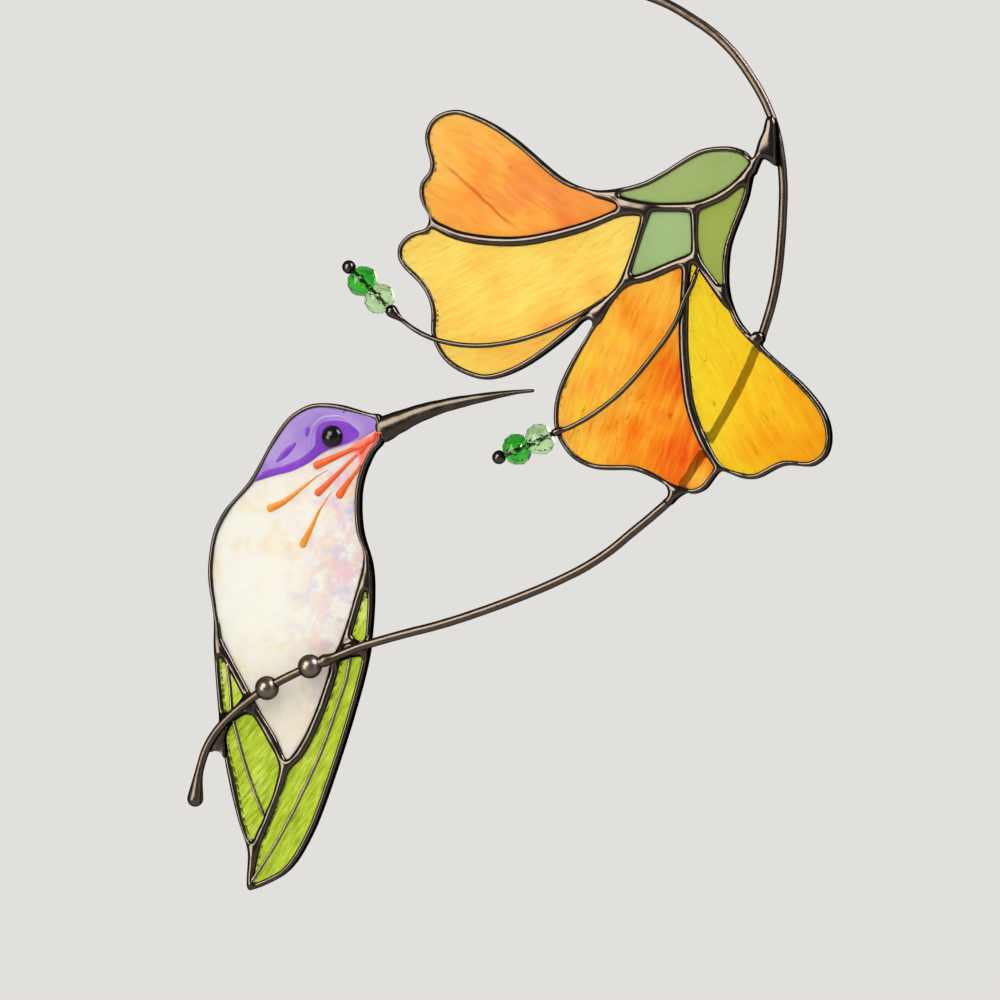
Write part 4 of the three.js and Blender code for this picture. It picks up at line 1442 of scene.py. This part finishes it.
@dataclass
class Wire:
    """A bent wire of round section, drawn along the line of its solid."""

    node: str
    slot: Slot
    wander: float = 0.02
    around: int = 20
    step: float = 0.45
    melts: float = 0.0  # mm at its right end that have melted into the solder behind
    sink: float = 1.3  # mm by which that end has sunk back
    reach: float = 0.0  # mm by which it runs on past the cut end of its solid
    longer: float = 0.0  # mm by which both of its ends run on into the seams
    flow: float = 0.0  # how fast a swelling tapers off along it

    def build(self, metal: bpy.types.Material) -> bpy.types.Object:
        """Builds and dresses the wire.

        Args:
            metal: Its finish.

        Returns:
            The wire.
        """
        line = Line.of(self.node, self.reach > 0)
        if self.reach:
            line = line.carried_on(self.reach)
        if self.longer:
            line = line.longer(self.longer)
        if self.flow:
            line = line.flowed(self.flow)
        line = line.rounded(self.step)
        if self.melts:
            line = line.melted(self.melts, self.sink)
        piece = swept(line, self.around, self.wander, 3).built(self.node + "_wire")
        return dress(piece, metal, self.slot, self.node)


def axis_of(node: str) -> tuple[Array, Array, Array]:
    """The middle of a turned solid, the direction of its axis, and its corners as seen from the middle.

    The axis is the direction in which the spread of the corners differs from the other two, which are alike.

    Args:
        node: The solid's name.

    Returns:
        The middle, the axis and the corners.
    """
    corners, _ = solid_mesh(node)
    middle = (corners.min(0) + corners.max(0)) / 2
    middle = corners.mean(0) if np.abs(corners.mean(0) - middle).max() < 0.3 else middle
    spread, directions = np.linalg.eigh(np.cov((corners - middle).T))
    odd = 0 if spread[1] - spread[0] > spread[2] - spread[1] else 2
    return middle, directions[:, odd], corners - middle


@dataclass
class Rondelle:
    """A faceted bead: rows of flat facets, each row turned half a facet from the next."""

    node: str
    slot: Slot
    facets: int = 10
    bore: float = 0.75
    rows: tuple[tuple[float, float, float], ...] = (  # share of the radius, share of the half length, turn
        (0.58, -1.0, 0.0), (0.88, -0.55, 0.5), (1.0, 0.0, 0.0), (0.88, 0.55, 0.5), (0.58, 1.0, 0.0))

    def build(self, crystal: bpy.types.Material) -> bpy.types.Object:
        """Builds and dresses the bead.

        Its rings are the bore's end, the flat end, the shoulder, the waist, and the same again. Rings that
        are turned half a facet from each other are joined by triangles, and the others by flat sides.

        Args:
            crystal: Its finish.

        Returns:
            The bead.
        """
        middle, axis, corners = axis_of(self.node)
        along = corners @ axis
        half = float(np.abs(along).max())
        radius = float(np.linalg.norm(corners - along[:, None] * axis, axis=1).max())
        size = np.array([(self.bore / radius, -1.0, 0.0), *self.rows, (self.bore / radius, 1.0, 0.0)])
        n = self.facets
        angle = angles(n) + 2 * np.pi * size[:, 2:] / n
        places = rings_about(size[:, :2] * [radius, half], middle, axis, angle)
        i, j = np.arange(n), (np.arange(n) + 1) % n
        faces: list[list[int]] = []
        for k, turn in enumerate(np.roll(size[:, 2], -1) - size[:, 2]):
            low, high = k * n, ((k + 1) % len(size)) * n
            if turn > 0:
                sets = [np.stack([low + i, low + j, high + i], 1), np.stack([low + j, high + j, high + i], 1)]
            elif turn < 0:
                sets = [np.stack([low + i, high + j, high + i], 1), np.stack([low + i, low + j, high + j], 1)]
            else:
                sets = [np.stack([low + i, low + j, high + j, high + i], 1)]
            faces.extend(np.concatenate([group.tolist() for group in sets]).tolist())
        surface = Surface([places.reshape(-1, 3)], faces, len(size) * n)
        piece = surface.built(self.node + "_cut_glass", smooth=False)
        outward(piece)
        return dress(piece, crystal, self.slot, self.node)


def outward(piece: bpy.types.Object) -> None:
    """Turns the faces of a closed mesh outwards if its signed volume is negative.

    Args:
        piece: The object whose mesh it is.
    """
    mesh = piece.data
    mesh.calc_loop_triangles()
    p = in_threes(mesh.vertices, "co", 3)[in_threes(mesh.loop_triangles, "vertices", 3, int)]
    if (np.cross(p[:, 0], p[:, 1]) * p[:, 2]).sum() < 0:
        mesh.flip_normals()


@dataclass
class FootBead:
    """A ball of solder threaded on the twig, with a rounded edge to its bore."""

    node: str
    bore: float = 1.25
    opened: float = 1.15  # how much wider the mouth of the bore is, which rounds its edge
    depth: float = 0.97  # where the bore proper starts, as a share of the way out to its mouth
    around: int = 40

    def build(self, solder: bpy.types.Material) -> bpy.types.Object:
        """Builds and dresses the ball.

        Args:
            solder: Its finish.

        Returns:
            The ball.
        """
        middle, axis, corners = axis_of(self.node)
        radius = float(np.linalg.norm(corners, axis=1).max())
        opening = math.asin(self.bore / radius) * self.opened
        angle = np.linspace(opening, math.pi - opening, 26)
        outer = np.stack([radius * np.sin(angle), -radius * np.cos(angle)], 1)
        end = outer[-1, 1] * self.depth
        inner = np.stack([np.full(4, self.bore), np.linspace(end, -end, 4)], 1)
        piece = turned(np.vstack([outer, inner]), middle, axis, self.around).built(self.node + "_ball")
        outward(piece)
        return dress(piece, solder, Slot.SOLDER, self.node)


@dataclass
class HangingRing:
    """A ring of wire with a foot of solder that runs on to the twig."""

    node: str = "hanging_ring"
    wire: float = 0.74
    middle: float = 4.3  # radius of the wire's own line
    bore: float = 3.5
    foot: tuple[float, float, float] = (2.5, 2.2, 1.95)

    def build(self, metal: bpy.types.Material) -> bpy.types.Object:
        """Builds the ring as a circle carried round a circle, and its foot as a flattened ball.

        The ring's points are (R + r cos b) cos a, r sin b and (R + r cos b) sin a, from its middle.

        Args:
            metal: Its finish.

        Returns:
            The ring with its foot.
        """
        a, b = np.meshgrid(angles(72), angles(16), indexing="ij")
        reach = self.middle + self.wire * np.cos(b)
        ring = np.stack([reach * np.cos(a), self.wire * np.sin(b), reach * np.sin(a)], -1) - [0, 0, self.bore]
        u, v = np.meshgrid(np.linspace(0, math.pi, 20), angles(28), indexing="ij")
        foot = np.stack([np.sin(u) * np.cos(v), np.sin(u) * np.sin(v), -np.cos(u)], -1) * self.foot
        foot += [0, 0, -self.bore - self.middle - 0.35 * self.wire]
        piece = looped(ring).joined(lidded(foot[1:-1], foot[0, 0], foot[-1, 0])).built("hanging_ring_wire")
        outward(piece)
        return dress(piece, metal, Slot.WIRE, self.node)


@dataclass
class Eye:
    """A half ball of polished black glass, set on the head."""

    node: str = "eye"
    wider: float = 0.12  # mm by which its radius is larger than its solid's
    aside: float = -0.15  # mm by which it is moved to the right
    sunk: float = 0.3  # mm of it that are sunk into the enamel
    around: int = 40

    def build(self, glass: bpy.types.Material) -> bpy.types.Object:
        """Builds and dresses the eye: a quarter oval turned about Y, closed by a flat back.

        Args:
            glass: Its finish.

        Returns:
            The eye.
        """
        low, high = (np.array(corner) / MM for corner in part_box(self.node))
        radius, height = (high[0] - low[0]) / 2 + self.wider, high[1] - low[1]
        angle = np.linspace(0, math.pi / 2, 14)
        dome = np.stack([radius * np.cos(angle), height * np.sin(angle)], 1)
        profile = np.vstack([[0, 0], dome[:-1], [0, height]])
        at = np.array([(low[0] + high[0]) / 2 + self.aside, high[1] + self.sunk, (low[2] + high[2]) / 2])
        piece = turned(profile, at, np.array([0, -1.0, 0]), self.around).built("eye_cabochon")
        outward(piece)
        return dress(piece, glass, Slot.EYE, self.node)


class Tip(Enum):
    """How a stroke of enamel swells along its length."""

    DROP = "thin at first, and a round drop at the end"
    LENS = "thin at both ends"
    EVEN = "alike all along"


@dataclass(frozen=True)
class Stroke:
    """A stroke of enamel drawn with a fine nozzle: a low round bead on the glass, in the drawing's places."""

    path: tuple[tuple[float, float], ...]
    wide: float  # half its width at its widest
    thin: float = 0.14
    tip: Tip = Tip.DROP
    over: float = 0.0  # thickness of the enamel that it lies on
    high: float = 0.58  # the most that it stands up

    def surface(self) -> Surface:
        """The bead: an oval carried along the stroke, which swells along it and closes round at both ends.

        Returns:
            The surface of the bead.
        """
        points = through(np.array(self.path) + DRAWING, False, 0.22)
        run = run_of(points)
        share = run / run[-1]
        swelling = {Tip.DROP: share**1.5, Tip.LENS: np.sin(np.pi * share) ** 0.8, Tip.EVEN: share**0}
        half = self.thin + (self.wide - self.thin) * swelling[self.tip]
        for left in (run, run[-1] - run):
            half = half * np.sqrt(1 - (1 - np.clip(left / half, 0, 1)) ** 2)
        middles = np.stack([points[:, 0], np.full(len(points), BIRD_FRONT - self.over), points[:, 1]], 1)
        return swept(Line(middles, half, np.minimum(half * 0.75, self.high)), 14)


@dataclass(frozen=True)
class Flood:
    """A field of enamel that ran out level inside its edge: flat, with a rounded border."""

    outline: Array
    thickness: float

    def surface(self) -> Surface:
        """The field, from a little inside the glass up to its thickness above it.

        Returns:
            The surface of the field.
        """
        sheet = Sheet.between([self.outline], 0.5, (0.08, 0.25))
        lift = capped(0.9 * sheet.membrane(), self.thickness)
        return sheet.closed(BIRD_FRONT + 0.08 - lift, np.full(len(lift), BIRD_FRONT + 0.3))


@dataclass
class HeadEnamel:
    """The bird's painted head and throat: a lilac cap, a violet mask round the eye and a fan of orange drops.

    The first three sizes are the thickness of each field, and the outlines are in the drawing's places.
    """

    cap: float = 0.3
    mask: float = 0.34
    throat: float = 0.38
    edge: tuple[tuple[float, float], ...] = (
        (-65.9, 5.0), (-61.0, 6.1), (-55.5, 7.8), (-50.6, 9.9), (-46.3, 12.3), (-41.9, 13.7), (-37.5, 15.3),
        (-33.0, 17.8))
    mask_outline: tuple[tuple[float, float], ...] = (
        (-66.6, 4.5), (-62.0, 5.6), (-59.1, 6.4), (-55.3, 7.4), (-51.9, 8.9), (-49.6, 10.2), (-47.3, 11.9),
        (-45.5, 12.8), (-43.2, 13.5), (-40.9, 14.2), (-38.9, 15.1), (-37.5, 16.0), (-37.4, 17.0), (-38.6, 18.3),
        (-40.3, 19.6), (-42.6, 20.2), (-45.2, 20.2), (-47.5, 19.6), (-48.8, 18.2), (-49.2, 16.0), (-49.3, 13.9),
        (-50.8, 12.4), (-52.6, 11.0), (-54.9, 9.9), (-57.6, 8.9), (-60.4, 8.2), (-62.6, 7.6))
    throat_outline: tuple[tuple[float, float], ...] = (
        (-30.9, 17.4), (-34.6, 16.3), (-37.5, 15.0), (-40.2, 13.2), (-38.9, 12.3), (-37.9, 11.4), (-37.5, 10.0),
        (-37.4, 8.6), (-36.1, 8.7), (-34.6, 11.2), (-33.0, 14.1), (-31.2, 16.1))
    reds: tuple[Stroke, ...] = (
        Stroke(((-35.8, 14.2), (-38.6, 13.1), (-41.8, 11.8), (-45.5, 10.2), (-48.4, 9.0),
                (-49.7, 8.5)), 1.12, 0.5),
        Stroke(((-37.0, 12.4), (-39.2, 10.5), (-41.8, 8.0), (-44.7, 5.3), (-47.0, 3.1), (-48.4, 1.9),
                (-49.2, 1.25)), 1.0, 0.35),
        Stroke(((-36.5, 10.3), (-38.1, 7.5), (-40.1, 5.0), (-41.5, 3.1), (-42.6, 1.5),
                (-43.3, 0.5)), 1.15, 0.3))
    oranges: tuple[Stroke, ...] = (
        Stroke(((-45.7, 7.7), (-48.4, 6.2), (-51.9, 3.7), (-55.3, 1.1), (-58.2, -0.8), (-60.8, -1.9),
                (-62.1, -2.4)), 1.05, 0.12),
        Stroke(((-44.9, 2.1), (-46.4, -0.1), (-48.4, -3.2), (-50.1, -6.7), (-51.6, -9.6), (-52.4, -11.2),
                (-52.8, -12.1)), 1.0, 0.12))
    squiggles: tuple[Stroke, ...] = (
        Stroke(((-31.3, 17.0), (-33.2, 16.7), (-33.4, 15.3), (-35.3, 14.3), (-36.3, 12.9),
                (-37.4, 11.8)), 0.42, 0.3, Tip.EVEN, 0.3),
        Stroke(((-36.0, 13.8), (-38.1, 13.0), (-40.2, 12.9)), 0.34, 0.2, Tip.LENS, 0.3))
    glow: tuple[Stroke, ...] = (
        Stroke(((-50.2, 13.4), (-50.3, 16.1), (-49.6, 18.7), (-47.9, 20.4), (-45.6, 21.1), (-42.9, 21.2),
                (-40.9, 20.6)), 0.5, 0.1, Tip.LENS, 0.2, 0.15),)
    spots: tuple[Stroke, ...] = (
        Stroke(((-50.9, 18.8), (-51.3, 17.5), (-51.5, 16.0)), 0.62, 0.1, Tip.LENS, 0.2, 0.13),
        Stroke(((-59.6, 9.6), (-57.1, 11.9), (-54.2, 14.6)), 0.9, 0.1, Tip.LENS, 0.2, 0.13),
        Stroke(((-41.9, 22.4), (-41.3, 22.4)), 0.5, 0.45, Tip.EVEN, 0.2, 0.13))

    def cap_outline(self) -> Array:
        """The part of the body's outline above the lower edge of the cap, closed along that edge.

        Returns:
            The cap's outline.
        """
        pane = through(section("bird_body", (BIRD_FRONT + BIRD_BACK) / 2)[0], True, 0.6)
        edge = through(np.array(self.edge) + DRAWING, False, 0.6)
        above = pane[:, 1] > np.interp(pane[:, 0], edge[:, 0], edge[:, 1])
        first = np.flatnonzero(above & ~np.roll(above, 1))[0]
        top = np.roll(pane, -first, 0)[: above.sum()]
        inner = (edge[:, 0] > top[-1, 0] + 0.3) & (edge[:, 0] < top[0, 0] - 0.3)
        return np.vstack([top, edge[inner]])

    def build(self) -> None:
        """Builds and dresses each colour as a piece of its own."""
        lilac = Enamel("lilac_enamel", "#B49ADC", "#A080D2", 9.0).made()
        violet = Enamel("violet_enamel", "#8A48CC", "#7C3EC0", 5.0).made()
        self.field("head_cap_enamel", Flood(self.cap_outline(), self.cap), lilac)
        self.field("head_mask_enamel", Flood(self.smooth(self.mask_outline), self.mask), violet)
        self.field("throat_enamel", Flood(self.smooth(self.throat_outline), self.throat),
                   Enamel("salmon_enamel", "#FA9080", "#F67864", 3.0).made())
        for name, strokes, enamel in (
                ("throat_red_strokes", self.reds, Enamel("red_orange_enamel", "#F46C30", "#EE5E26", 3.0)),
                ("throat_orange_strokes", self.oranges, Enamel("orange_enamel", "#F4A030", "#EE9020", 3.0)),
                ("throat_squiggles", self.squiggles, Enamel("scarlet_enamel", "#EC5434", "#E2482C", 3.0)),
                ("head_glow", self.glow, Enamel("pale_lilac_enamel", "#B89AE4", "#AA88DA", 5.0))):
            self.drawn(name, strokes, enamel.made())
        self.drawn("head_spots", self.spots, violet)

    def smooth(self, outline: tuple[tuple[float, float], ...]) -> Array:
        """A closed curve through places of the drawing, running anticlockwise."""
        loop = through(np.array(outline) + DRAWING, True, 0.5)
        return loop if signed_area(loop) > 0 else loop[::-1]

    def field(self, name: str, flood: Flood, enamel: bpy.types.Material) -> None:
        """Builds and dresses a flooded field."""
        dress(flood.surface().built(name), enamel, Slot.IVORY)

    def drawn(self, name: str, strokes: tuple[Stroke, ...], enamel: bpy.types.Material) -> None:
        """Builds and dresses strokes of one colour.

        Args:
            name: The piece's name.
            strokes: The strokes.
            enamel: Its finish.
        """
        surface = Surface()
        for stroke in strokes:
            surface.joined(stroke.surface())
        dress(surface.built(name), enamel, Slot.IVORY)


# The scene.


@dataclass(frozen=True)
class Window:
    """A soft rectangular light that faces the piece."""

    name: str
    azimuth: float  # degrees to the right of straight ahead
    elevation: float
    size: tuple[float, float]
    radiance: float
    colour: str = "#FFF8EA"
    mirrored_only: bool = True  # whether it shows in shiny surfaces alone, or lights the rest alone
    distance: float = 1.6

    def hang(self, aim: Vector) -> None:
        """Hangs the light, facing the place that it aims at.

        Args:
            aim: The middle of the piece.
        """
        turn, tilt = math.radians(self.azimuth), math.radians(self.elevation)
        away = Vector((math.sin(turn) * math.cos(tilt), -math.cos(turn) * math.cos(tilt), math.sin(tilt)))
        lamp = bpy.data.lights.new(self.name, "AREA")
        lamp.shape = "RECTANGLE"
        lamp.size, lamp.size_y = self.size
        lamp.energy = self.radiance * math.pi * self.size[0] * self.size[1]
        lamp.color = linear(self.colour)[:3]
        holder = bpy.data.objects.new(self.name, lamp)
        holder.location = aim + self.distance * away
        holder.rotation_euler = (-away).to_track_quat("-Z", "Y").to_euler()
        holder.visible_camera = False
        holder.visible_transmission = False
        holder.visible_diffuse = not self.mirrored_only
        holder.visible_glossy = self.mirrored_only
        bpy.context.scene.collection.objects.link(holder)


WINDOWS = (
    Window("window_high", -24, 24, (0.95, 0.9), 12.0),
    Window("window_low", -37, -5, (0.72, 0.6), 11.0),
    Window("window_right", 66, 0, (0.2, 1.3), 3.0, "#E8EEFF"),
    Window("small_window_a", 70, 43, (0.24, 0.9), 34.0, "#F4F6FF"),
    Window("small_window_b", 96, 40, (0.24, 0.9), 34.0, "#F4F6FF"),
    Window("window_behind", 156, 20, (0.95, 0.9), 3.5),
    Window("window_behind_low", 143, -5, (0.72, 0.6), 3.5),
    Window("sky", -10, 55, (1.2, 1.2), 4.2, "#FFFFFF", False, 1.9),
    Window("sky_behind", 170, 55, (1.2, 1.2), 4.2, "#FFFFFF", False, 1.9),
)


@dataclass(frozen=True)
class Studio:
    """A pale room with soft windows, and a camera level with the middle of the piece."""

    azimuth: float = 15.0  # degrees to the right of straight ahead
    distance: float = 1.0
    lens: float = 144.0
    room: str = "#E2E0DD"
    dimmed: float = -0.65  # how much darker the room is where it is mirrored, so that dark metal stays dark
    glow: float = 0.36  # how much brighter it is through glass

    def build(self) -> None:
        """Makes the camera, the light and the floor."""
        scene = bpy.context.scene
        scene.view_settings.view_transform = "Standard"
        aim = Vector((DRAWING[0] * MM, 0, DRAWING[1] * MM))
        angle = math.radians(self.azimuth)
        camera = bpy.data.objects.new("camera", bpy.data.cameras.new("camera"))
        camera.data.lens = self.lens
        camera.data.sensor_width = 36
        camera.location = aim + self.distance * Vector((math.sin(angle), -math.cos(angle), 0))
        camera.rotation_euler = (aim - camera.location).to_track_quat("-Z", "Y").to_euler()
        scene.collection.objects.link(camera)
        scene.camera = camera
        self.walls(scene)
        for window in WINDOWS:
            window.hang(aim)
        self.floor()

    def walls(self, scene: bpy.types.Scene) -> None:
        """Surrounds the piece with a pale room.

        Args:
            scene: The scene that the room is for.
        """
        world = bpy.data.worlds.new("pale_room")
        scene.world = world
        world.use_nodes = True
        tree = world.node_tree
        path = add(tree, "LightPath").outputs
        through_glass = path["Is Transmission Ray"]
        mirrored = add(tree, "Math", {0: path["Is Glossy Ray"], 1: through_glass}, operation="SUBTRACT",
                       use_clamp=True).outputs[0]
        strength = add(tree, "Math", {0: mirrored, 1: self.dimmed, 2: 1.0},
                       operation="MULTIPLY_ADD").outputs[0]
        strength = add(tree, "Math", {0: through_glass, 1: self.glow, 2: strength}, operation="MULTIPLY_ADD")
        room = tree.nodes["Background"]
        room.inputs["Color"].default_value = linear(self.room)
        tree.links.new(strength.outputs[0], room.inputs["Strength"])

    def floor(self) -> None:
        """Lays a round floor of paper well below the piece."""
        around, level, radii = 96, -900.0, (3000.0, 1500.0, 400.0, 100.0)
        angle = angles(around)
        ring = np.stack([np.cos(angle), np.sin(angle), 0 * angle], 1)
        points = np.vstack([ring * radius for radius in radii]) + [0, 0, level]
        surface = Surface().add(points, tube_faces(len(radii), around))
        surface.faces.append(list(range(len(points) - around, len(points))))
        floor = surface.built("floor", smooth=False, held=False)
        floor.data.materials.append(StudioPaper().made())


FOLD = (-10.7, -52.8, 8.1, -70.1)  # two places on the upper petal, which is folded once from side to side
SAGE = {"cloud": 16.0, "patch": 0.7, "streak": 0.15, "clear": 0.35, "haze": 0.25, "crease": 0.0, "hatch": 0.0,
        "relief": 0.02}
LOWER_POOLS = ((27.0, -124.4, 10.0, -0.25), (49.8, -109.0, 10.0, 0.22), (49.5, -122.5, 7.0, 0.1),
               (54.8, -132.4, 6.5, -0.6), (46.8, -88.1, 11.0, -0.3), (35.9, -87.9, 9.0, 0.2))
GLASSES = {
    "petal_upper": (StreakyGlass("orange_streaky_glass", (
        (0.0, "#FFCE66"), (0.34, "#FFC052"), (0.5, "#FFB448"), (0.66, "#FCA64A"), (0.86, "#FA9646"),
        (1.0, "#F67232")), -35, (0.5, -0.3), seed=0.2, fold=FOLD), Slot.ORANGE),
    "petal_left": (StreakyGlass("yellow_streaky_glass", (
        (0.0, "#FFEF88"), (0.3, "#FFE472"), (0.52, "#FFDA64"), (0.7, "#FFCA56"), (0.85, "#FCB65A"),
        (1.0, "#F8A050")), 25, (0.15, -0.3), patch=1.2, seed=0.5, crease=0.4), Slot.YELLOW),
    "petal_lower": (StreakyGlass("deep_orange_streaky_glass", (
        (0.0, "#FFDC40"), (0.28, "#FFCC40"), (0.46, "#FFBA48"), (0.62, "#FCA626"), (0.8, "#F8861E"),
        (1.0, "#F44C1A")), 70, (0.45, -0.3), streak=1.0, patch=1.1, seed=0.8,
        pools=LOWER_POOLS), Slot.DEEP_ORANGE),
    "petal_right": (StreakyGlass("amber_streaky_glass", (
        (0.0, "#F8E234"), (0.32, "#FAD82E"), (0.52, "#FCCC28"), (0.7, "#FCBE22"), (0.88, "#F8AE1C"),
        (1.0, "#F49C1A")), -60, (0.6, -0.3), patch=1.1, haze=0.07, seed=1.1,
        pools=((79.8, -122.7, 13.0, 0.08),)), Slot.AMBER),
    "calyx_top": (StreakyGlass("sage_opal_glass_top", (
        (0.2, "#B8D08A"), (0.5, "#ACC478"), (0.8, "#A0B86C")), 20, seed=1.3, **SAGE), Slot.SAGE),
    "calyx_middle": (StreakyGlass("sage_opal_glass_middle", (
        (0.2, "#BCDA9C"), (0.5, "#B0CC8C"), (0.8, "#A6C280")), 70, seed=1.6, **SAGE), Slot.SAGE),
    "calyx_right": (StreakyGlass("sage_opal_glass_right", (
        (0.2, "#B8CA6C"), (0.5, "#AABC5A"), (0.8, "#9EB050")), 80, seed=1.9, **SAGE), Slot.SAGE),
}
LIME = ((0.0, "#F0F8A0"), (0.3, "#DCEE62"), (0.5, "#CAE040"), (0.7, "#B6D22C"), (1.0, "#98B620"))
WING_POOLS = ((-34.4, -165.7, 10.0, -0.35), (-70.2, -183.3, 9.0, -0.3))
WING_HEADINGS = {"wing_left_upper": 55, "wing_left_lower": 50, "wing_right_upper": 62, "wing_right_lower": 58}
# Where the seam up to the tail spreads, and where the right petal's glass is cut back behind its rim.
WIDE_SEAM = ((-56.0, -210.0, 6.0, -0.4), (-58.5, -216.5, 5.0, -0.4), (-60.8, -221.5, 4.0, -0.3))
CUT_BACK = ((76.3, -130.0, 9.0, 0.9),)


class Suncatcher:
    """The whole piece: two panels of glass on a twig, with stamens, beads and a ring to hang it by."""

    def __init__(self) -> None:
        """Makes the metals, which most pieces share."""
        self.solder = DarkSolder().made()
        self.wire = DarkSolder("brown_patina_wire", shine="#4C433C", worn="#544A42", roughness=0.27).made()
        self.ball = DarkSolder("grey_patina_solder", shine="#655C55", worn="#70665E", roughness=0.3).made()
        self.vein = DarkSolder("worn_patina_wire", shine="#746A60", worn="#80766C", roughness=0.2).made()
        self.horn = DarkSolder("dull_patina_solder", shine="#3C3732", worn="#48423C", roughness=0.22).made()
        self.twig_line = Line.of("twig").rounded(0.6)

    def build(self) -> None:
        """Builds every piece in order."""
        for seed, (node, (glass, slot)) in enumerate(GLASSES.items()):
            Pane(node, glass, slot, FLOWER_FRONT, FLOWER_BACK, spots=CUT_BACK).build(seed)
        for seed, (node, heading) in enumerate(WING_HEADINGS.items()):
            glass = StreakyGlass(f"{node}_lime_glass", LIME, heading, cloud=7.0, patch=0.9, width=0.35,
                                 length=14.0, streak=1.1, seed=2.0 + seed, crease=0.0, hatch=0.65,
                                 scratch="#7E9A10", relief=0.05, pools=WING_POOLS)
            Pane(node, glass, Slot.LIME, BIRD_FRONT, BIRD_BACK).build(20 + seed)
        Pane("bird_body", MottledGlass(), Slot.IVORY, BIRD_FRONT, BIRD_BACK, swell=0.07,
             stretch=1.0).build(31)
        SolderNet("flower_solder", "flower_solder_net", FLOWER_FRONT, FLOWER_BACK, -2.15, self.twig_line,
                  True).build(self.solder)
        SolderNet("bird_solder", "bird_solder_net", BIRD_FRONT, BIRD_BACK, 5.85, self.twig_line, False,
                  1.5, spread=WIDE_SEAM).build(self.solder)
        Wire("twig", Slot.WIRE, flow=0.2).build(self.wire)
        HangingRing().build(self.wire)
        Wire("stamen_upper", Slot.SOLDER, 0.03, 16, melts=9.0).build(self.solder)
        Wire("stamen_lower", Slot.SOLDER, 0.03, 16, melts=4.0).build(self.solder)
        for node in ("vein_left_upper", "vein_left_lower", "vein_right"):
            Wire(node, Slot.SOLDER, 0.05, 12, longer=0.8).build(self.vein)
        Wire("beak", Slot.SOLDER, 0.03, 24, 0.4, reach=4.9).build(self.horn)
        for node in ("foot_bead_left", "foot_bead_right"):
            FootBead(node).build(self.ball)
        for node in ("bead_upper_dark", "bead_lower_dark"):
            Rondelle(node, Slot.BEAD_DARK).build(Crystal(f"{node}_crystal", "#52CE34", "#1E962A").made())
        for node in ("bead_upper_pale", "bead_lower_pale"):
            Rondelle(node, Slot.BEAD_PALE).build(Crystal(f"{node}_crystal", "#C0E0AA", "#9CC88C").made())
        HeadEnamel().build()
        Eye().build(Enamel("black_glass", "#050507", "#0B0B0E", gloss=0.3).made())


def main() -> None:
    """Builds the studio and the suncatcher."""
    logging.basicConfig(level=logging.INFO, format="%(name)s %(message)s", stream=sys.stdout)
    Studio().build()
    Suncatcher().build()


if __name__ == "__main__":
    main()
